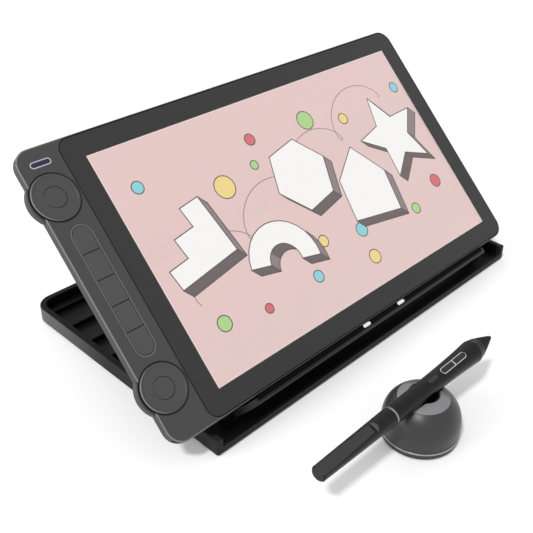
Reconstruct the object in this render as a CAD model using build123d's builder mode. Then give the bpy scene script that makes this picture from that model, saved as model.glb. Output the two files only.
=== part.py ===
from build123d import *
import os
from math import cos, radians, sin

os.makedirs("parts", exist_ok=True)

# All lengths are in millimetres. The origin is the middle of the stand's footprint on the
# desk, +X runs along the ledge to the right, +Y to the back and +Z up. The tablet's face
# has its own plane: local x to the right, local y up the slope, depths down from the glass.

# Tablet outline
active_width = 293.76
active_height = 165.24
bezel_left = 14.9
bezel_right = 15.9
bezel_top = 16.2
strip_width = 30.1
body_corner_radius = 11.0
front_depth = 4.0
rim_depth = 2.0
tablet_thickness = 12.0
back_inset = 9.0
back_corner_radius = 8.0
edge_round = 0.7
side_wall = 1.6
web_thickness = 1.5
floor_wall = 1.6

# Glass and what lies behind it
glass_thickness = 1.1
glass_rim = 1.2
glass_seam = 0.15
glass_corner_radius = 8.5
glass_edge_round = 0.25
panel_margin = 3.4
window_gap = 0.5
lcd_thickness = 1.2
light_guide_thickness = 2.3
light_guide_margin = 0.2
sensor_thickness = 0.8
shield_thickness = 0.6
shield_margin = 1.5

# Dials, with a button in the middle of each
dial_glass_gap = 1.72
dial_offset_y = 65.0
dial_radius = 15.5
dial_gap = 0.35
dial_proud = 0.6
dial_thickness = 2.6
dial_edge = 0.5
dial_dish = 0.35
dial_rim_width = 2.0
dial_bore_radius = 7.1
hub_radius = 10.2
hub_depth = 6.4
shelf_overhang = 1.7
shelf_depth = 2.6
shelf_thickness = 1.4
shelf_hole_gap = 0.4
shelf_lip_depth = 1.0
shelf_lip_edge = 0.6
bulge_foot_radius = 10.0
bulge_foot_depth = 11.4
outline_seam = 0.12
encoder_radius = 11.0
encoder_pocket_gap = 0.4
encoder_top_depth = 7.1
encoder_thickness = 1.5
post_outer_radius = 8.7
post_inner_radius = 7.35
post_top_depth = 2.9
running_gap = 0.08
button_gap = 0.2
button_proud = 0.25
button_thickness = 1.6
button_collar_thickness = 1.4
button_stem_radius = 2.5
button_travel = 0.5

# Express keys, the lit key at the top, and the boards under them
column_width = 12.8
column_length = 87.6
column_glass_gap = 8.02
key_count = 5
key_pitch = 17.6
key_gap = 0.3
key_proud = 0.35
key_cap = 1.7
key_edge = 0.3
key_flange = 0.8
key_flange_drop = 0.3
key_stem_side = 3.0
key_travel = 0.5
lit_key_glass_gap = 7.67
lit_key_y = 87.6
lit_key_length = 14.5
lit_key_width = 4.6
light_ring_wall = 0.8
light_ring_proud = 0.1
light_ring_depth = 2.4
lit_key_gap = 0.15
lit_key_proud = 0.2
board_thickness = 0.9
key_board_width = 14.0
key_board_length = 98.0
key_board_depth = 5.2
switch_side = 4.2
switch_top_depth = 3.7
boss_radius = 2.2

# Main board and its two sockets in the top edge
main_board_inset = 11.78
main_board_width = 58.0
main_board_low = 46.0
main_board_high = 92.0
main_arm_length = 34.0
main_arm_low = 79.0
main_board_depth = 6.6
chip_side = 14.0
chip_height = 0.5
socket_width = 9.0
socket_height = 3.2
socket_wall = 0.35
socket_length = 7.2
socket_floor = 1.0
socket_recess = 0.4
socket_tongue_width = 6.4
socket_tongue_thickness = 0.7
socket_gap = 0.12
socket_inset = 23.78
socket_pitch = 20.0
socket_centre_depth = 5.0

# Rubber feet on the back of the tablet
tablet_foot_length = 56.0
tablet_foot_width = 7.0
tablet_foot_height = 1.0
tablet_foot_recess = 0.5
tablet_foot_x = 105.0
tablet_foot_y = 80.0

# Stand base
base_width = 326.0
base_depth = 208.0
base_wall_top = 13.0
base_wall = 4.8
base_back_radius = 14.0
base_front_radius = 1.5
base_bottom = 1.5
base_floor = 2.5
base_rim_round = 0.8
sill_height = 6.0
sill_wall = 3.0
tooth_height = 4.0
tooth_pitch = 24.5
tooth_count = 5
tooth_land = 2.5
tooth_crest_flat = 1.0
rib_height = 4.0
rib_wall = 1.6
rib_x = 124.0
rib_from_wall = 8.0
base_foot_length = 40.0
base_foot_width = 9.0
base_foot_recess = 0.5
base_foot_x = 130.0
base_foot_y = 88.0

# Hinge of the support plate, and the leg that props it
tilt = 45.0
hinge_setback = 17.0
hinge_drop = 7.3
hinge_below_edge = 1.0
pin_radius = 1.5
pin_fit = 0.02
pin_running = 0.06
knuckle_radius = 3.4
knuckle_length = 16.0
lug_radius = 3.2
lug_length = 7.0
lug_gap = 0.6
pin_recess = 0.3
pin_grip = 14.0
foot_bar_radius = 2.0
crest_clearance = 0.3
leg_length = 88.0
leg_width = 200.0
leg_sheet = 2.0
leg_eye_radius = 3.2
leg_eye_length = 9.0
leg_side_gap = 0.4
leg_bead_width = 9.0
leg_bead_depth = 0.6
leg_bead_x = 42.0
leg_bead_count = 4
leg_bead_margin = 16.0
leg_lug_length = 6.0
leg_pin_length = 12.0
foot_bar_lip = 4.0

# Support plate with its ledge
plate_width = 276.0
plate_skin = 3.0
plate_length = 185.0
plate_skirt_wall = 3.0
plate_skirt_depth = 8.0
plate_corner_radius = 10.0
plate_rib_wall = 1.6
plate_rib_depth = 5.5
plate_rib_x = 46.0
plate_rib_count = 5
plate_rib_low = 90.0
plate_rib_high = 22.0
seat_gap = 0.3
ledge_proud = 1.0
ledge_liner = 1.2
ledge_liner_cap = 3.0
ledge_wall = 4.4
ledge_top_width = 252.0
ledge_flare = 11.0
ledge_flare_drop = 12.0
ledge_round = 2.3
ledge_apron = 7.4
bumper_length = 7.5
bumper_width = 2.4
bumper_proud = 0.25
bumper_x = 19.5
plate_pad_width = 20.0
plate_pad_length = 60.0
plate_pad_height = 1.0
plate_pad_sunk = 0.3
plate_pad_x = 108.0
plate_pad_low = 62.0
plate_pad_high = 34.0
pad_corner_share = 0.45

# Pen, lying along X with its tip to the right
pen_tip_x = 16.0
pen_length = 172.0
pen_nib_radius = 0.85
pen_nib_out = 1.8
pen_nib_travel = 0.5
pen_nose_tip_radius = 1.5
pen_nose_seam = 17.2
pen_nose_radius = 6.75
pen_nose_bulge = 0.1
pen_ridge = 23.0
pen_ridge_radius = 7.9
pen_ridge_slope_share = 0.07
pen_waist = 62.0
pen_waist_radius = 6.3
pen_ring_start = 107.5
pen_ring_width = 1.3
pen_ring_radius = 6.15
pen_joint_radius = 6.0
pen_tail_radius = 5.0
pen_bore_radius = 3.8
pen_socket_radius = 5.2
pen_spigot_radius = 4.8
pen_tail_bore = 3.0
pen_tail_bore_length = 30.0
pen_notch_start = 123.5
pen_notch_length = 4.5
pen_notch_drop = 0.9
pen_facet_start_height = 5.0
pen_facet_end_height = 3.1
pen_tail_round = 0.8
pen_slot_start = 35.0
pen_slot_end = 60.0
pen_slot_width = 4.6
pen_slot_floor = 4.5
pen_trim_wall = 0.45
pen_divider = 0.5
pen_trim_proud = 0.1
pen_key_gap = 0.12
pen_key_proud = 0.45
pen_key_seat = 0.5
pen_small_key_start = 64.5
pen_small_key_length = 9.0
pen_small_key_width = 3.2
pen_small_key_proud = 0.1
pen_coil_radius = 3.4
pen_coil_length = 14.0
pen_sensor_length = 9.0
pen_board_width = 6.4
pen_board_thickness = 1.0
pen_board_length = 66.0
pen_switch_side = 3.0
pen_switch_height = 1.6
pen_roll = 16.0
pen_spigot = 8.0

# Pen holder
holder_x = -58.0
holder_y = -178.0
holder_radius = 24.6
holder_ring_radius = 24.95
holder_bulge_radius = 24.9
holder_bulge_height = 12.5
holder_shoulder_radius = 20.6
holder_shoulder_height = 26.0
holder_crown_radius = 13.5
holder_crown_height = 32.0
holder_height = 33.2
holder_wall = 2.4
holder_ring_bottom = 4.4
holder_ring_height = 1.1
holder_foot_height = 1.2
holder_foot_radius = 22.5
holder_foot_wall = 4.0
holder_base_bottom = 0.6
holder_base_edge = 0.8
holder_turn_gap = 0.2
collar_wall = 1.5
collar_height = 4.0
groove_radius = 7.6
groove_bottom = 29.6
saddle_radius = 16.5
saddle_seat_height = 25.0
saddle_gap = 0.1
well_top_radius = 9.6
well_waist_radius = 7.4
well_waist_height = 23.0
well_floor_height = 12.0
well_floor_radius = 6.6
well_wall = 1.5
weight_radius = 17.5
weight_height = 5.5
nib_circle_radius = 13.5
nib_radius = 0.8
nib_length = 8.0
nib_count = 10
nib_sunk = 2.0
nib_tip_edge = 0.3

cut_overrun = 2.0

# Places worked out from the sizes above
face_left = -(active_width / 2 + bezel_left + strip_width)
face_right = active_width / 2 + bezel_right
face_half = active_height / 2 + bezel_top
face_width = face_right - face_left
face_mid = (face_left + face_right) / 2
glass_run = bezel_left + active_width / 2
glass_left = -glass_run
glass_right = face_right - glass_rim
glass_half = face_half - glass_rim
panel_width = active_width + 2 * panel_margin
panel_height = active_height + 2 * panel_margin
edge_depth = front_depth + rim_depth
taper_share = back_inset / (tablet_thickness - edge_depth)
floor_depth = tablet_thickness - floor_wall
lcd_depth = glass_thickness + lcd_thickness
guide_depth = lcd_depth + light_guide_thickness
sensor_depth = guide_depth + sensor_thickness
shield_depth = sensor_depth + shield_thickness
dial_offset_x = glass_run + dial_glass_gap + dial_radius
shelf_radius = dial_radius + shelf_overhang
column_offset_x = glass_run + column_glass_gap + column_width / 2
lit_key_x = glass_run + lit_key_glass_gap + lit_key_length / 2
main_board_left = glass_run - main_board_inset
main_board_right = main_board_left - main_board_width
main_arm_left = main_board_left + main_arm_length
socket_far_x = glass_run - socket_inset
socket_near_x = socket_far_x - socket_pitch
dial_centres = [(-dial_offset_x, dial_offset_y), (-dial_offset_x, -dial_offset_y)]

plate_top_depth = tablet_thickness + tablet_foot_height + seat_gap
hinge_depth = plate_top_depth + hinge_drop
hinge_run = face_half + hinge_below_edge
floor_top = base_bottom + base_floor
hinge_y = hinge_setback - base_depth / 2
hinge_z = floor_top + tooth_height + crest_clearance + foot_bar_radius
slope_cos = cos(radians(tilt))
slope_sin = sin(radians(tilt))
face_y = hinge_y + hinge_run * slope_cos - hinge_depth * slope_sin
face_z = hinge_z + hinge_run * slope_sin + hinge_depth * slope_cos
up_slope = Vector(0, slope_cos, slope_sin)
outward = Vector(0, -slope_sin, slope_cos)
tablet_face = Plane(Vector(0, face_y, face_z), x_dir=(1, 0, 0), z_dir=outward)
outward_axis = Axis(tablet_face.origin, outward)


def face_at(depth):
    """Plane parallel to the tablet's face, this far behind it."""
    return tablet_face.offset(-depth)


def face_section(x):
    """Plane across X, with local x up the slope and local y outwards from the face."""
    return Plane(tablet_face.from_local_coords((x, 0, 0)), x_dir=up_slope, z_dir=(1, 0, 0))


def face_outline(depth, inset, radius):
    """The tablet's outline drawn in by an inset, at a depth behind the face."""
    with BuildSketch(face_at(depth)) as outline:
        with Locations((face_mid, 0)):
            RectangleRounded(face_width - 2 * inset, 2 * (face_half - inset), radius)
    return outline.sketch


# Front housing: the control strip and the rim that holds the glass
with BuildPart() as front_housing:
    extrude(face_outline(front_depth, 0, body_corner_radius), amount=front_depth)
    fillet(front_housing.faces().sort_by(outward_axis)[-1].edges(), edge_round)
    with BuildSketch(tablet_face):
        with Locations(((glass_left + glass_right) / 2, 0)):
            RectangleRounded(glass_right - glass_left + 2 * glass_seam,
                             2 * (glass_half + glass_seam), glass_corner_radius + glass_seam)
    extrude(amount=-glass_thickness, mode=Mode.SUBTRACT)
    with BuildSketch(tablet_face):
        Rectangle(panel_width + 2 * window_gap, panel_height + 2 * window_gap)
    extrude(amount=-front_depth, mode=Mode.SUBTRACT)
    with BuildSketch(face_at(glass_thickness + web_thickness)):
        with Locations(((glass_left + face_right - side_wall) / 2, 0)):
            Rectangle(face_right - side_wall - glass_left, 2 * (face_half - side_wall))
    extrude(amount=-front_depth, mode=Mode.SUBTRACT)
    with BuildSketch(face_at(web_thickness)):
        with Locations(((face_left + glass_left) / 2, 0)):
            Rectangle(strip_width - 2 * side_wall, 2 * (face_half - side_wall))
        with Locations(*dial_centres):
            Circle(dial_radius + dial_gap + side_wall, mode=Mode.SUBTRACT)
    extrude(amount=-front_depth, mode=Mode.SUBTRACT)
    with BuildSketch(tablet_face):
        with Locations(*dial_centres):
            Circle(dial_radius + dial_gap)
        with Locations((-column_offset_x, 0)):
            SlotOverall(column_length, column_width, rotation=90)
        with Locations((-lit_key_x, lit_key_y)):
            SlotOverall(lit_key_length, lit_key_width)
    extrude(amount=-front_depth, mode=Mode.SUBTRACT)
    socket_plane = Plane(tablet_face.from_local_coords((0, face_half, 0)),
                         x_dir=(1, 0, 0), z_dir=up_slope)
    with BuildSketch(socket_plane):
        with Locations((-socket_far_x, socket_centre_depth), (-socket_near_x, socket_centre_depth)):
            SlotOverall(socket_width + 2 * socket_gap, socket_height + 2 * socket_gap)
    extrude(amount=-socket_length, mode=Mode.SUBTRACT)
front_housing.part.label = "front_housing"
export_step(front_housing.part, "parts/front_housing.step")

# Rear housing: straight rim, tapered back, and a round bulge that carries each dial
with BuildPart() as rear_housing:
    extrude(face_outline(edge_depth, 0, body_corner_radius), amount=rim_depth)
    loft([face_outline(edge_depth, 0, body_corner_radius),
          face_outline(tablet_thickness, back_inset, back_corner_radius)])
    with BuildSketch(face_at(edge_depth)):
        with Locations(*dial_centres):
            Circle(shelf_radius)
    extrude(amount=rim_depth)
    for dial_centre in dial_centres:
        with BuildSketch(face_at(edge_depth)):
            with Locations(dial_centre):
                Circle(shelf_radius)
        with BuildSketch(face_at(bulge_foot_depth)):
            with Locations(dial_centre):
                Circle(bulge_foot_radius)
        loft()
    extrude(face_outline(edge_depth, side_wall, body_corner_radius - side_wall),
            amount=rim_depth, mode=Mode.SUBTRACT)
    loft([face_outline(edge_depth, side_wall, body_corner_radius - side_wall),
          face_outline(floor_depth, side_wall + taper_share * (floor_depth - edge_depth),
                       back_corner_radius)], mode=Mode.SUBTRACT)
    with BuildSketch(face_at(front_depth)):
        with Locations(*dial_centres):
            Circle(shelf_radius)
            Circle(hub_radius + shelf_hole_gap, mode=Mode.SUBTRACT)
        with Locations((face_left - outline_seam + shelf_radius, 0)):
            Rectangle(2 * shelf_radius, 2 * face_half, mode=Mode.SUBTRACT)
    extrude(amount=front_depth - shelf_depth)
    with BuildSketch(face_at(shelf_depth)):
        with Locations(*dial_centres):
            Circle(shelf_radius)
            Circle(dial_radius + dial_gap, mode=Mode.SUBTRACT)
        with Locations((face_left - outline_seam + shelf_radius, 0)):
            Rectangle(2 * shelf_radius, 2 * face_half, mode=Mode.SUBTRACT)
    extrude(amount=shelf_depth - shelf_lip_depth)
    lip_tops = rear_housing.faces().group_by(outward_axis)[-1]
    chamfer(lip_tops.edges().filter_by(GeomType.CIRCLE).group_by(SortBy.RADIUS)[-1],
            shelf_lip_edge)
    with BuildSketch(face_at(encoder_top_depth + encoder_thickness)):
        with Locations(*dial_centres):
            Circle(encoder_radius + encoder_pocket_gap)
    extrude(amount=encoder_top_depth + encoder_thickness - front_depth, mode=Mode.SUBTRACT)
    with BuildSketch(face_at(shelf_depth + shelf_thickness)):
        with Locations(*dial_centres):
            Circle(dial_radius)
            Circle(hub_radius + shelf_hole_gap, mode=Mode.SUBTRACT)
    extrude(amount=shelf_thickness)
    with BuildSketch(face_at(floor_depth)):
        with Locations(*dial_centres):
            Circle(post_outer_radius)
    extrude(amount=floor_depth - encoder_top_depth - encoder_thickness)
    with BuildSketch(face_at(floor_depth)):
        with Locations((-column_offset_x, 0)):
            with GridLocations(key_board_width - 2 * boss_radius,
                               key_board_length / 2, 2, 2):
                Circle(boss_radius)
    extrude(amount=floor_depth - key_board_depth - board_thickness)
    with BuildSketch(face_at(floor_depth)):
        with Locations(((-main_board_left - main_board_right) / 2,
                        (main_board_low + main_board_high) / 2)):
            with GridLocations(main_board_left - main_board_right - 4 * boss_radius,
                               main_board_high - main_board_low - 4 * boss_radius, 2, 2):
                Circle(boss_radius)
    extrude(amount=floor_depth - main_board_depth - board_thickness)
    with BuildSketch(socket_plane):
        with Locations((-socket_far_x, socket_centre_depth), (-socket_near_x, socket_centre_depth)):
            SlotOverall(socket_width + 2 * socket_gap, socket_height + 2 * socket_gap)
    extrude(amount=-socket_length, mode=Mode.SUBTRACT)
    with BuildSketch(face_at(tablet_thickness - tablet_foot_recess)):
        with GridLocations(2 * tablet_foot_x, 2 * tablet_foot_y, 2, 2):
            SlotOverall(tablet_foot_length, tablet_foot_width)
    extrude(amount=-tablet_foot_recess, mode=Mode.SUBTRACT)
rear_housing.part.label = "rear_housing"
export_step(rear_housing.part, "parts/rear_housing.step")

# Rubber feet of the tablet, set in shallow recesses
with BuildPart() as tablet_feet:
    with BuildSketch(face_at(tablet_thickness + tablet_foot_height)):
        with GridLocations(2 * tablet_foot_x, 2 * tablet_foot_y, 2, 2):
            SlotOverall(tablet_foot_length - 2 * glass_seam, tablet_foot_width - 2 * glass_seam)
    extrude(amount=tablet_foot_height + tablet_foot_recess)
tablet_feet.part.label = "tablet_feet"
export_step(tablet_feet.part, "parts/tablet_feet.step")

# Cover glass, with rounded corners and a broken edge
with BuildPart() as glass_panel:
    with BuildSketch(face_at(glass_thickness)):
        with Locations(((glass_left + glass_right) / 2, 0)):
            RectangleRounded(glass_right - glass_left, 2 * glass_half, glass_corner_radius)
    extrude(amount=glass_thickness)
    chamfer(glass_panel.faces().sort_by(outward_axis)[-1].edges(), glass_edge_round)
glass_panel.part.label = "glass_panel"
export_step(glass_panel.part, "parts/glass_panel.step")

# The display behind the glass, one sheet on another
with BuildPart() as lcd_panel:
    with BuildSketch(face_at(lcd_depth)):
        Rectangle(panel_width, panel_height)
    extrude(amount=lcd_thickness)
lcd_panel.part.label = "lcd_panel"
export_step(lcd_panel.part, "parts/lcd_panel.step")

with BuildPart() as light_guide:
    with BuildSketch(face_at(guide_depth)):
        Rectangle(panel_width + 2 * light_guide_margin, panel_height + 2 * light_guide_margin)
    extrude(amount=light_guide_thickness)
light_guide.part.label = "light_guide"
export_step(light_guide.part, "parts/light_guide.step")

with BuildPart() as sensor_board:
    with BuildSketch(face_at(sensor_depth)):
        Rectangle(panel_width, panel_height)
    extrude(amount=sensor_thickness)
sensor_board.part.label = "sensor_board"
export_step(sensor_board.part, "parts/sensor_board.step")

with BuildPart() as shield_plate:
    with BuildSketch(face_at(shield_depth)):
        Rectangle(panel_width + 2 * shield_margin, panel_height + 2 * shield_margin)
    extrude(amount=shield_thickness)
shield_plate.part.label = "shield_plate"
export_step(shield_plate.part, "parts/shield_plate.step")


# Dial: a dished ring with a sleeve that runs on its encoder's post
def make_dial(name, centre):
    """Turn one dial about its own axis, which stands square on the tablet's face."""
    origin = tablet_face.from_local_coords((*centre, 0))
    section = Plane(origin, x_dir=(1, 0, 0), z_dir=-up_slope)
    with BuildPart() as dial:
        with BuildSketch(section):
            with BuildLine():
                Polyline((dial_bore_radius, dial_proud - dial_dish),
                         (dial_radius - dial_rim_width, dial_proud - dial_dish),
                         (dial_radius - dial_rim_width + dial_dish, dial_proud),
                         (dial_radius - dial_edge, dial_proud),
                         (dial_radius, dial_proud - dial_edge),
                         (dial_radius, dial_proud - dial_thickness),
                         (hub_radius, dial_proud - dial_thickness),
                         (hub_radius, -hub_depth),
                         (post_outer_radius + running_gap, -hub_depth),
                         (post_outer_radius + running_gap, dial_proud - dial_thickness),
                         (dial_bore_radius, dial_proud - dial_thickness), close=True)
            make_face()
        revolve(axis=Axis(origin, outward))
    dial.part.label = name
    export_step(dial.part, f"parts/{name}.step")


make_dial("upper_dial", dial_centres[0])
make_dial("lower_dial", dial_centres[1])


# Button in the middle of a dial, guided by a collar inside the encoder's post
def make_dial_button(name, centre):
    """Stack the cap, the collar and the stem of one dial button."""
    cap_top = tablet_face.offset(button_proud)
    with BuildPart() as dial_button:
        with BuildSketch(cap_top):
            with Locations(centre):
                Circle(dial_bore_radius - button_gap)
        extrude(amount=-button_thickness - post_top_depth)
        chamfer(dial_button.faces().sort_by(outward_axis)[-1].edges(), key_edge)
        with BuildSketch(face_at(post_top_depth + button_proud + key_edge)):
            with Locations(centre):
                Circle(post_inner_radius - running_gap)
        extrude(amount=-button_collar_thickness)
        with BuildSketch(face_at(encoder_top_depth - button_travel - board_thickness)):
            with Locations(centre):
                Circle(button_stem_radius)
        extrude(amount=encoder_top_depth - post_top_depth - board_thickness)
    dial_button.part.label = name
    export_step(dial_button.part, f"parts/{name}.step")


make_dial_button("upper_dial_button", dial_centres[0])
make_dial_button("lower_dial_button", dial_centres[1])

# Encoders: a disc with the hollow post that the dial's sleeve turns on
with BuildPart() as dial_encoders:
    with BuildSketch(face_at(encoder_top_depth + encoder_thickness)):
        with Locations(*dial_centres):
            Circle(encoder_radius)
    extrude(amount=encoder_thickness)
    with BuildSketch(face_at(encoder_top_depth)):
        with Locations(*dial_centres):
            Circle(post_outer_radius)
            Circle(post_inner_radius, mode=Mode.SUBTRACT)
    extrude(amount=encoder_top_depth - post_top_depth)
dial_encoders.part.label = "dial_encoders"
export_step(dial_encoders.part, "parts/dial_encoders.step")

# Express keys: one capsule cut across into five caps with side flanges and stems
for key_number in range(key_count):
    key_y = key_pitch * ((key_count - 1) / 2 - key_number)
    first_key = key_number == 0
    last_key = key_number == key_count - 1
    with BuildPart() as express_key:
        with BuildSketch(tablet_face.offset(key_proud)):
            with Locations((-column_offset_x, 0)):
                SlotOverall(column_length - 2 * key_gap, column_width - 2 * key_gap, rotation=90)
            with Locations((-column_offset_x, key_y)):
                Rectangle(column_width, key_pitch - key_gap, mode=Mode.INTERSECT)
        extrude(amount=-key_cap - key_flange_drop)
        chamfer(express_key.faces().sort_by(outward_axis)[-1].edges(), key_edge)
        with BuildSketch(face_at(key_cap + key_flange_drop - key_proud)):
            with Locations((-column_offset_x, 0)):
                SlotOverall(column_length + 2 * key_flange, column_width + 2 * key_flange,
                            rotation=90)
            with Locations((-column_offset_x, key_y)):
                Rectangle(column_width + 2 * key_flange, key_pitch - key_gap,
                          mode=Mode.INTERSECT)
        extrude(amount=-key_flange)
        with BuildSketch(face_at(switch_top_depth - key_travel - key_gap / 2)):
            with Locations((-column_offset_x, key_y)):
                Rectangle(key_stem_side, key_stem_side)
        extrude(amount=key_flange)
    express_key.part.label = f"express_key_{key_number + 1}"
    export_step(express_key.part, f"parts/express_key_{key_number + 1}.step")

# Lit key: a light ring fixed in the strip and the pill-shaped key inside it
with BuildPart() as light_ring:
    with BuildSketch(face_at(light_ring_depth)):
        with Locations((-lit_key_x, lit_key_y)):
            SlotOverall(lit_key_length - 2 * outline_seam, lit_key_width - 2 * outline_seam)
            SlotOverall(lit_key_length - 2 * light_ring_wall, lit_key_width - 2 * light_ring_wall,
                        mode=Mode.SUBTRACT)
    extrude(amount=light_ring_depth + light_ring_proud)
light_ring.part.label = "light_ring"
export_step(light_ring.part, "parts/light_ring.step")

with BuildPart() as lit_key:
    with BuildSketch(face_at(switch_top_depth - key_travel - key_gap / 2)):
        with Locations((-lit_key_x, lit_key_y)):
            SlotOverall(lit_key_length - 2 * (light_ring_wall + lit_key_gap),
                        lit_key_width - 2 * (light_ring_wall + lit_key_gap))
    extrude(amount=switch_top_depth - key_travel - key_gap / 2 + lit_key_proud)
lit_key.part.label = "lit_key"
export_step(lit_key.part, "parts/lit_key.step")

# Key board under the column, and the main board at the top with its arm under the lit key
with BuildPart() as key_board:
    with BuildSketch(face_at(key_board_depth + board_thickness)):
        with Locations((-column_offset_x, 0)):
            Rectangle(key_board_width, key_board_length)
        with Locations(*dial_centres):
            Circle(encoder_radius + 2 * encoder_pocket_gap, mode=Mode.SUBTRACT)
    extrude(amount=board_thickness)
key_board.part.label = "key_board"
export_step(key_board.part, "parts/key_board.step")

with BuildPart() as main_board:
    with BuildSketch(face_at(main_board_depth + board_thickness)):
        with Locations(((-main_board_left - main_board_right) / 2,
                        (main_board_low + main_board_high) / 2)):
            Rectangle(main_board_left - main_board_right, main_board_high - main_board_low)
        with Locations(((-main_arm_left - main_board_left) / 2,
                        (main_arm_low + main_board_high) / 2)):
            Rectangle(main_arm_left - main_board_left, main_board_high - main_arm_low)
    extrude(amount=board_thickness)
    with BuildSketch(face_at(main_board_depth + board_thickness)):
        with Locations(((-main_board_left - main_board_right) / 2,
                        (main_board_low + main_board_high) / 2)):
            Rectangle(chip_side, chip_side)
    extrude(amount=-chip_height)
main_board.part.label = "main_board"
export_step(main_board.part, "parts/main_board.step")

# Switches under the five keys, under the lit key and inside the two encoders
with BuildPart() as key_switches:
    with BuildSketch(face_at(key_board_depth)):
        with Locations((-column_offset_x, 0)):
            with GridLocations(key_pitch, key_pitch, 1, key_count):
                Rectangle(switch_side, switch_side)
    extrude(amount=key_board_depth - switch_top_depth)
    with BuildSketch(face_at(main_board_depth)):
        with Locations((-lit_key_x, lit_key_y)):
            Rectangle(switch_side, switch_side)
    extrude(amount=main_board_depth - switch_top_depth)
    with BuildSketch(face_at(encoder_top_depth)):
        with Locations(*dial_centres):
            Rectangle(switch_side, switch_side)
    extrude(amount=board_thickness - key_gap / 2)
key_switches.part.label = "key_switches"
export_step(key_switches.part, "parts/key_switches.step")

# Two sockets in the top edge, each a drawn shell with a tongue
with BuildPart() as usb_sockets:
    with BuildSketch(socket_plane.offset(-socket_recess)):
        with Locations((-socket_far_x, socket_centre_depth), (-socket_near_x, socket_centre_depth)):
            SlotOverall(socket_width, socket_height)
    extrude(amount=-socket_length)
    with BuildSketch(socket_plane.offset(-socket_recess)):
        with Locations((-socket_far_x, socket_centre_depth), (-socket_near_x, socket_centre_depth)):
            SlotOverall(socket_width - 2 * socket_wall, socket_height - 2 * socket_wall)
            Rectangle(socket_tongue_width, socket_tongue_thickness, mode=Mode.SUBTRACT)
    extrude(amount=-socket_length + socket_floor, mode=Mode.SUBTRACT)
usb_sockets.part.label = "usb_sockets"
export_step(usb_sockets.part, "parts/usb_sockets.step")

# Stand base: a shallow tray, open at the front over a low sill, with ratchet teeth inside
inner_half = base_width / 2 - base_wall
inner_back = base_depth / 2 - base_wall
inner_front = sill_wall - base_depth / 2
foot_run = 2 * leg_length * slope_cos
first_tooth_y = hinge_y + foot_run + foot_bar_radius + crest_clearance - 2 * tooth_pitch
with BuildPart() as stand_base:
    with BuildSketch(Plane.XY.offset(base_bottom)) as base_plan:
        Rectangle(base_width, base_depth)
        fillet(base_plan.vertices().group_by(Axis.Y)[-1], base_back_radius)
        fillet(base_plan.vertices().group_by(Axis.Y)[0], base_front_radius)
    extrude(amount=base_wall_top - base_bottom)
    with BuildSketch(Plane.XY.offset(floor_top)) as tray_plan:
        with Locations((0, (inner_back + inner_front) / 2)):
            Rectangle(2 * inner_half, inner_back - inner_front)
        fillet(tray_plan.vertices().group_by(Axis.Y)[-1], base_back_radius - base_wall)
    extrude(amount=base_wall_top, mode=Mode.SUBTRACT)
    with BuildSketch(Plane.XY.offset(sill_height)):
        with Locations((0, (inner_front - base_depth / 2) / 2)):
            Rectangle(2 * inner_half, sill_wall + cut_overrun)
    extrude(amount=base_wall_top, mode=Mode.SUBTRACT)
    fillet(stand_base.faces().filter_by(Axis.Z).sort_by(Axis.Z)[-1].edges(), base_rim_round)
    for tooth_number in range(tooth_count):
        tooth_y = first_tooth_y + tooth_number * tooth_pitch
        if tooth_y + tooth_crest_flat + tooth_land > inner_back:
            continue
        tooth_end = min(tooth_y + tooth_pitch - tooth_land, inner_back + base_wall / 2)
        with BuildSketch(Plane.YZ.offset(-inner_half)):
            with BuildLine():
                Polyline((tooth_y, base_bottom + base_floor / 2),
                         (tooth_y, floor_top + tooth_height),
                         (tooth_y + tooth_crest_flat, floor_top + tooth_height),
                         (tooth_end, floor_top), (tooth_end, base_bottom + base_floor / 2),
                         close=True)
            make_face()
        extrude(amount=2 * inner_half)
    with BuildSketch(Plane.XY.offset(floor_top)):
        with Locations((0, inner_back - rib_from_wall / 2)):
            with GridLocations(2 * rib_x, 0, 2, 1):
                Rectangle(rib_wall, rib_from_wall)
    extrude(amount=rib_height)
    for side in (-1, 1):
        lug_start = side * (plate_width / 2 + lug_gap + lug_length / 2) - lug_length / 2
        with BuildSketch(Plane.YZ.offset(lug_start)):
            with Locations((hinge_y, hinge_z)):
                Circle(lug_radius)
            with Locations((hinge_y, (hinge_z + floor_top) / 2)):
                Rectangle(2 * lug_radius, hinge_z - floor_top)
            with Locations((hinge_y, hinge_z)):
                Circle(pin_radius + pin_fit, mode=Mode.SUBTRACT)
        extrude(amount=lug_length)
    with BuildSketch(Plane.XY.offset(base_bottom + base_foot_recess)):
        with GridLocations(2 * base_foot_x, 2 * base_foot_y, 2, 2):
            SlotOverall(base_foot_length, base_foot_width)
    extrude(amount=-base_foot_recess, mode=Mode.SUBTRACT)
stand_base.part.label = "stand_base"
export_step(stand_base.part, "parts/stand_base.step")

with BuildPart() as base_feet:
    with BuildSketch():
        with GridLocations(2 * base_foot_x, 2 * base_foot_y, 2, 2):
            SlotOverall(base_foot_length - 2 * glass_seam, base_foot_width - 2 * glass_seam)
    extrude(amount=base_bottom + base_foot_recess)
base_feet.part.label = "base_feet"
export_step(base_feet.part, "parts/base_feet.step")

# Hinge pins: fixed in the base's lugs, running in the plate's knuckles
with BuildPart() as hinge_pins:
    for side in (-1, 1):
        pin_end = plate_width / 2 + lug_gap + lug_length - pin_recess
        pin_start = pin_end if side < 0 else pin_end - lug_length - pin_grip
        with BuildSketch(Plane.YZ.offset(side * pin_start)):
            with Locations((hinge_y, hinge_z)):
                Circle(pin_radius)
        extrude(amount=lug_length + pin_grip)
hinge_pins.part.label = "hinge_pins"
export_step(hinge_pins.part, "parts/hinge_pins.step")

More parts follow.
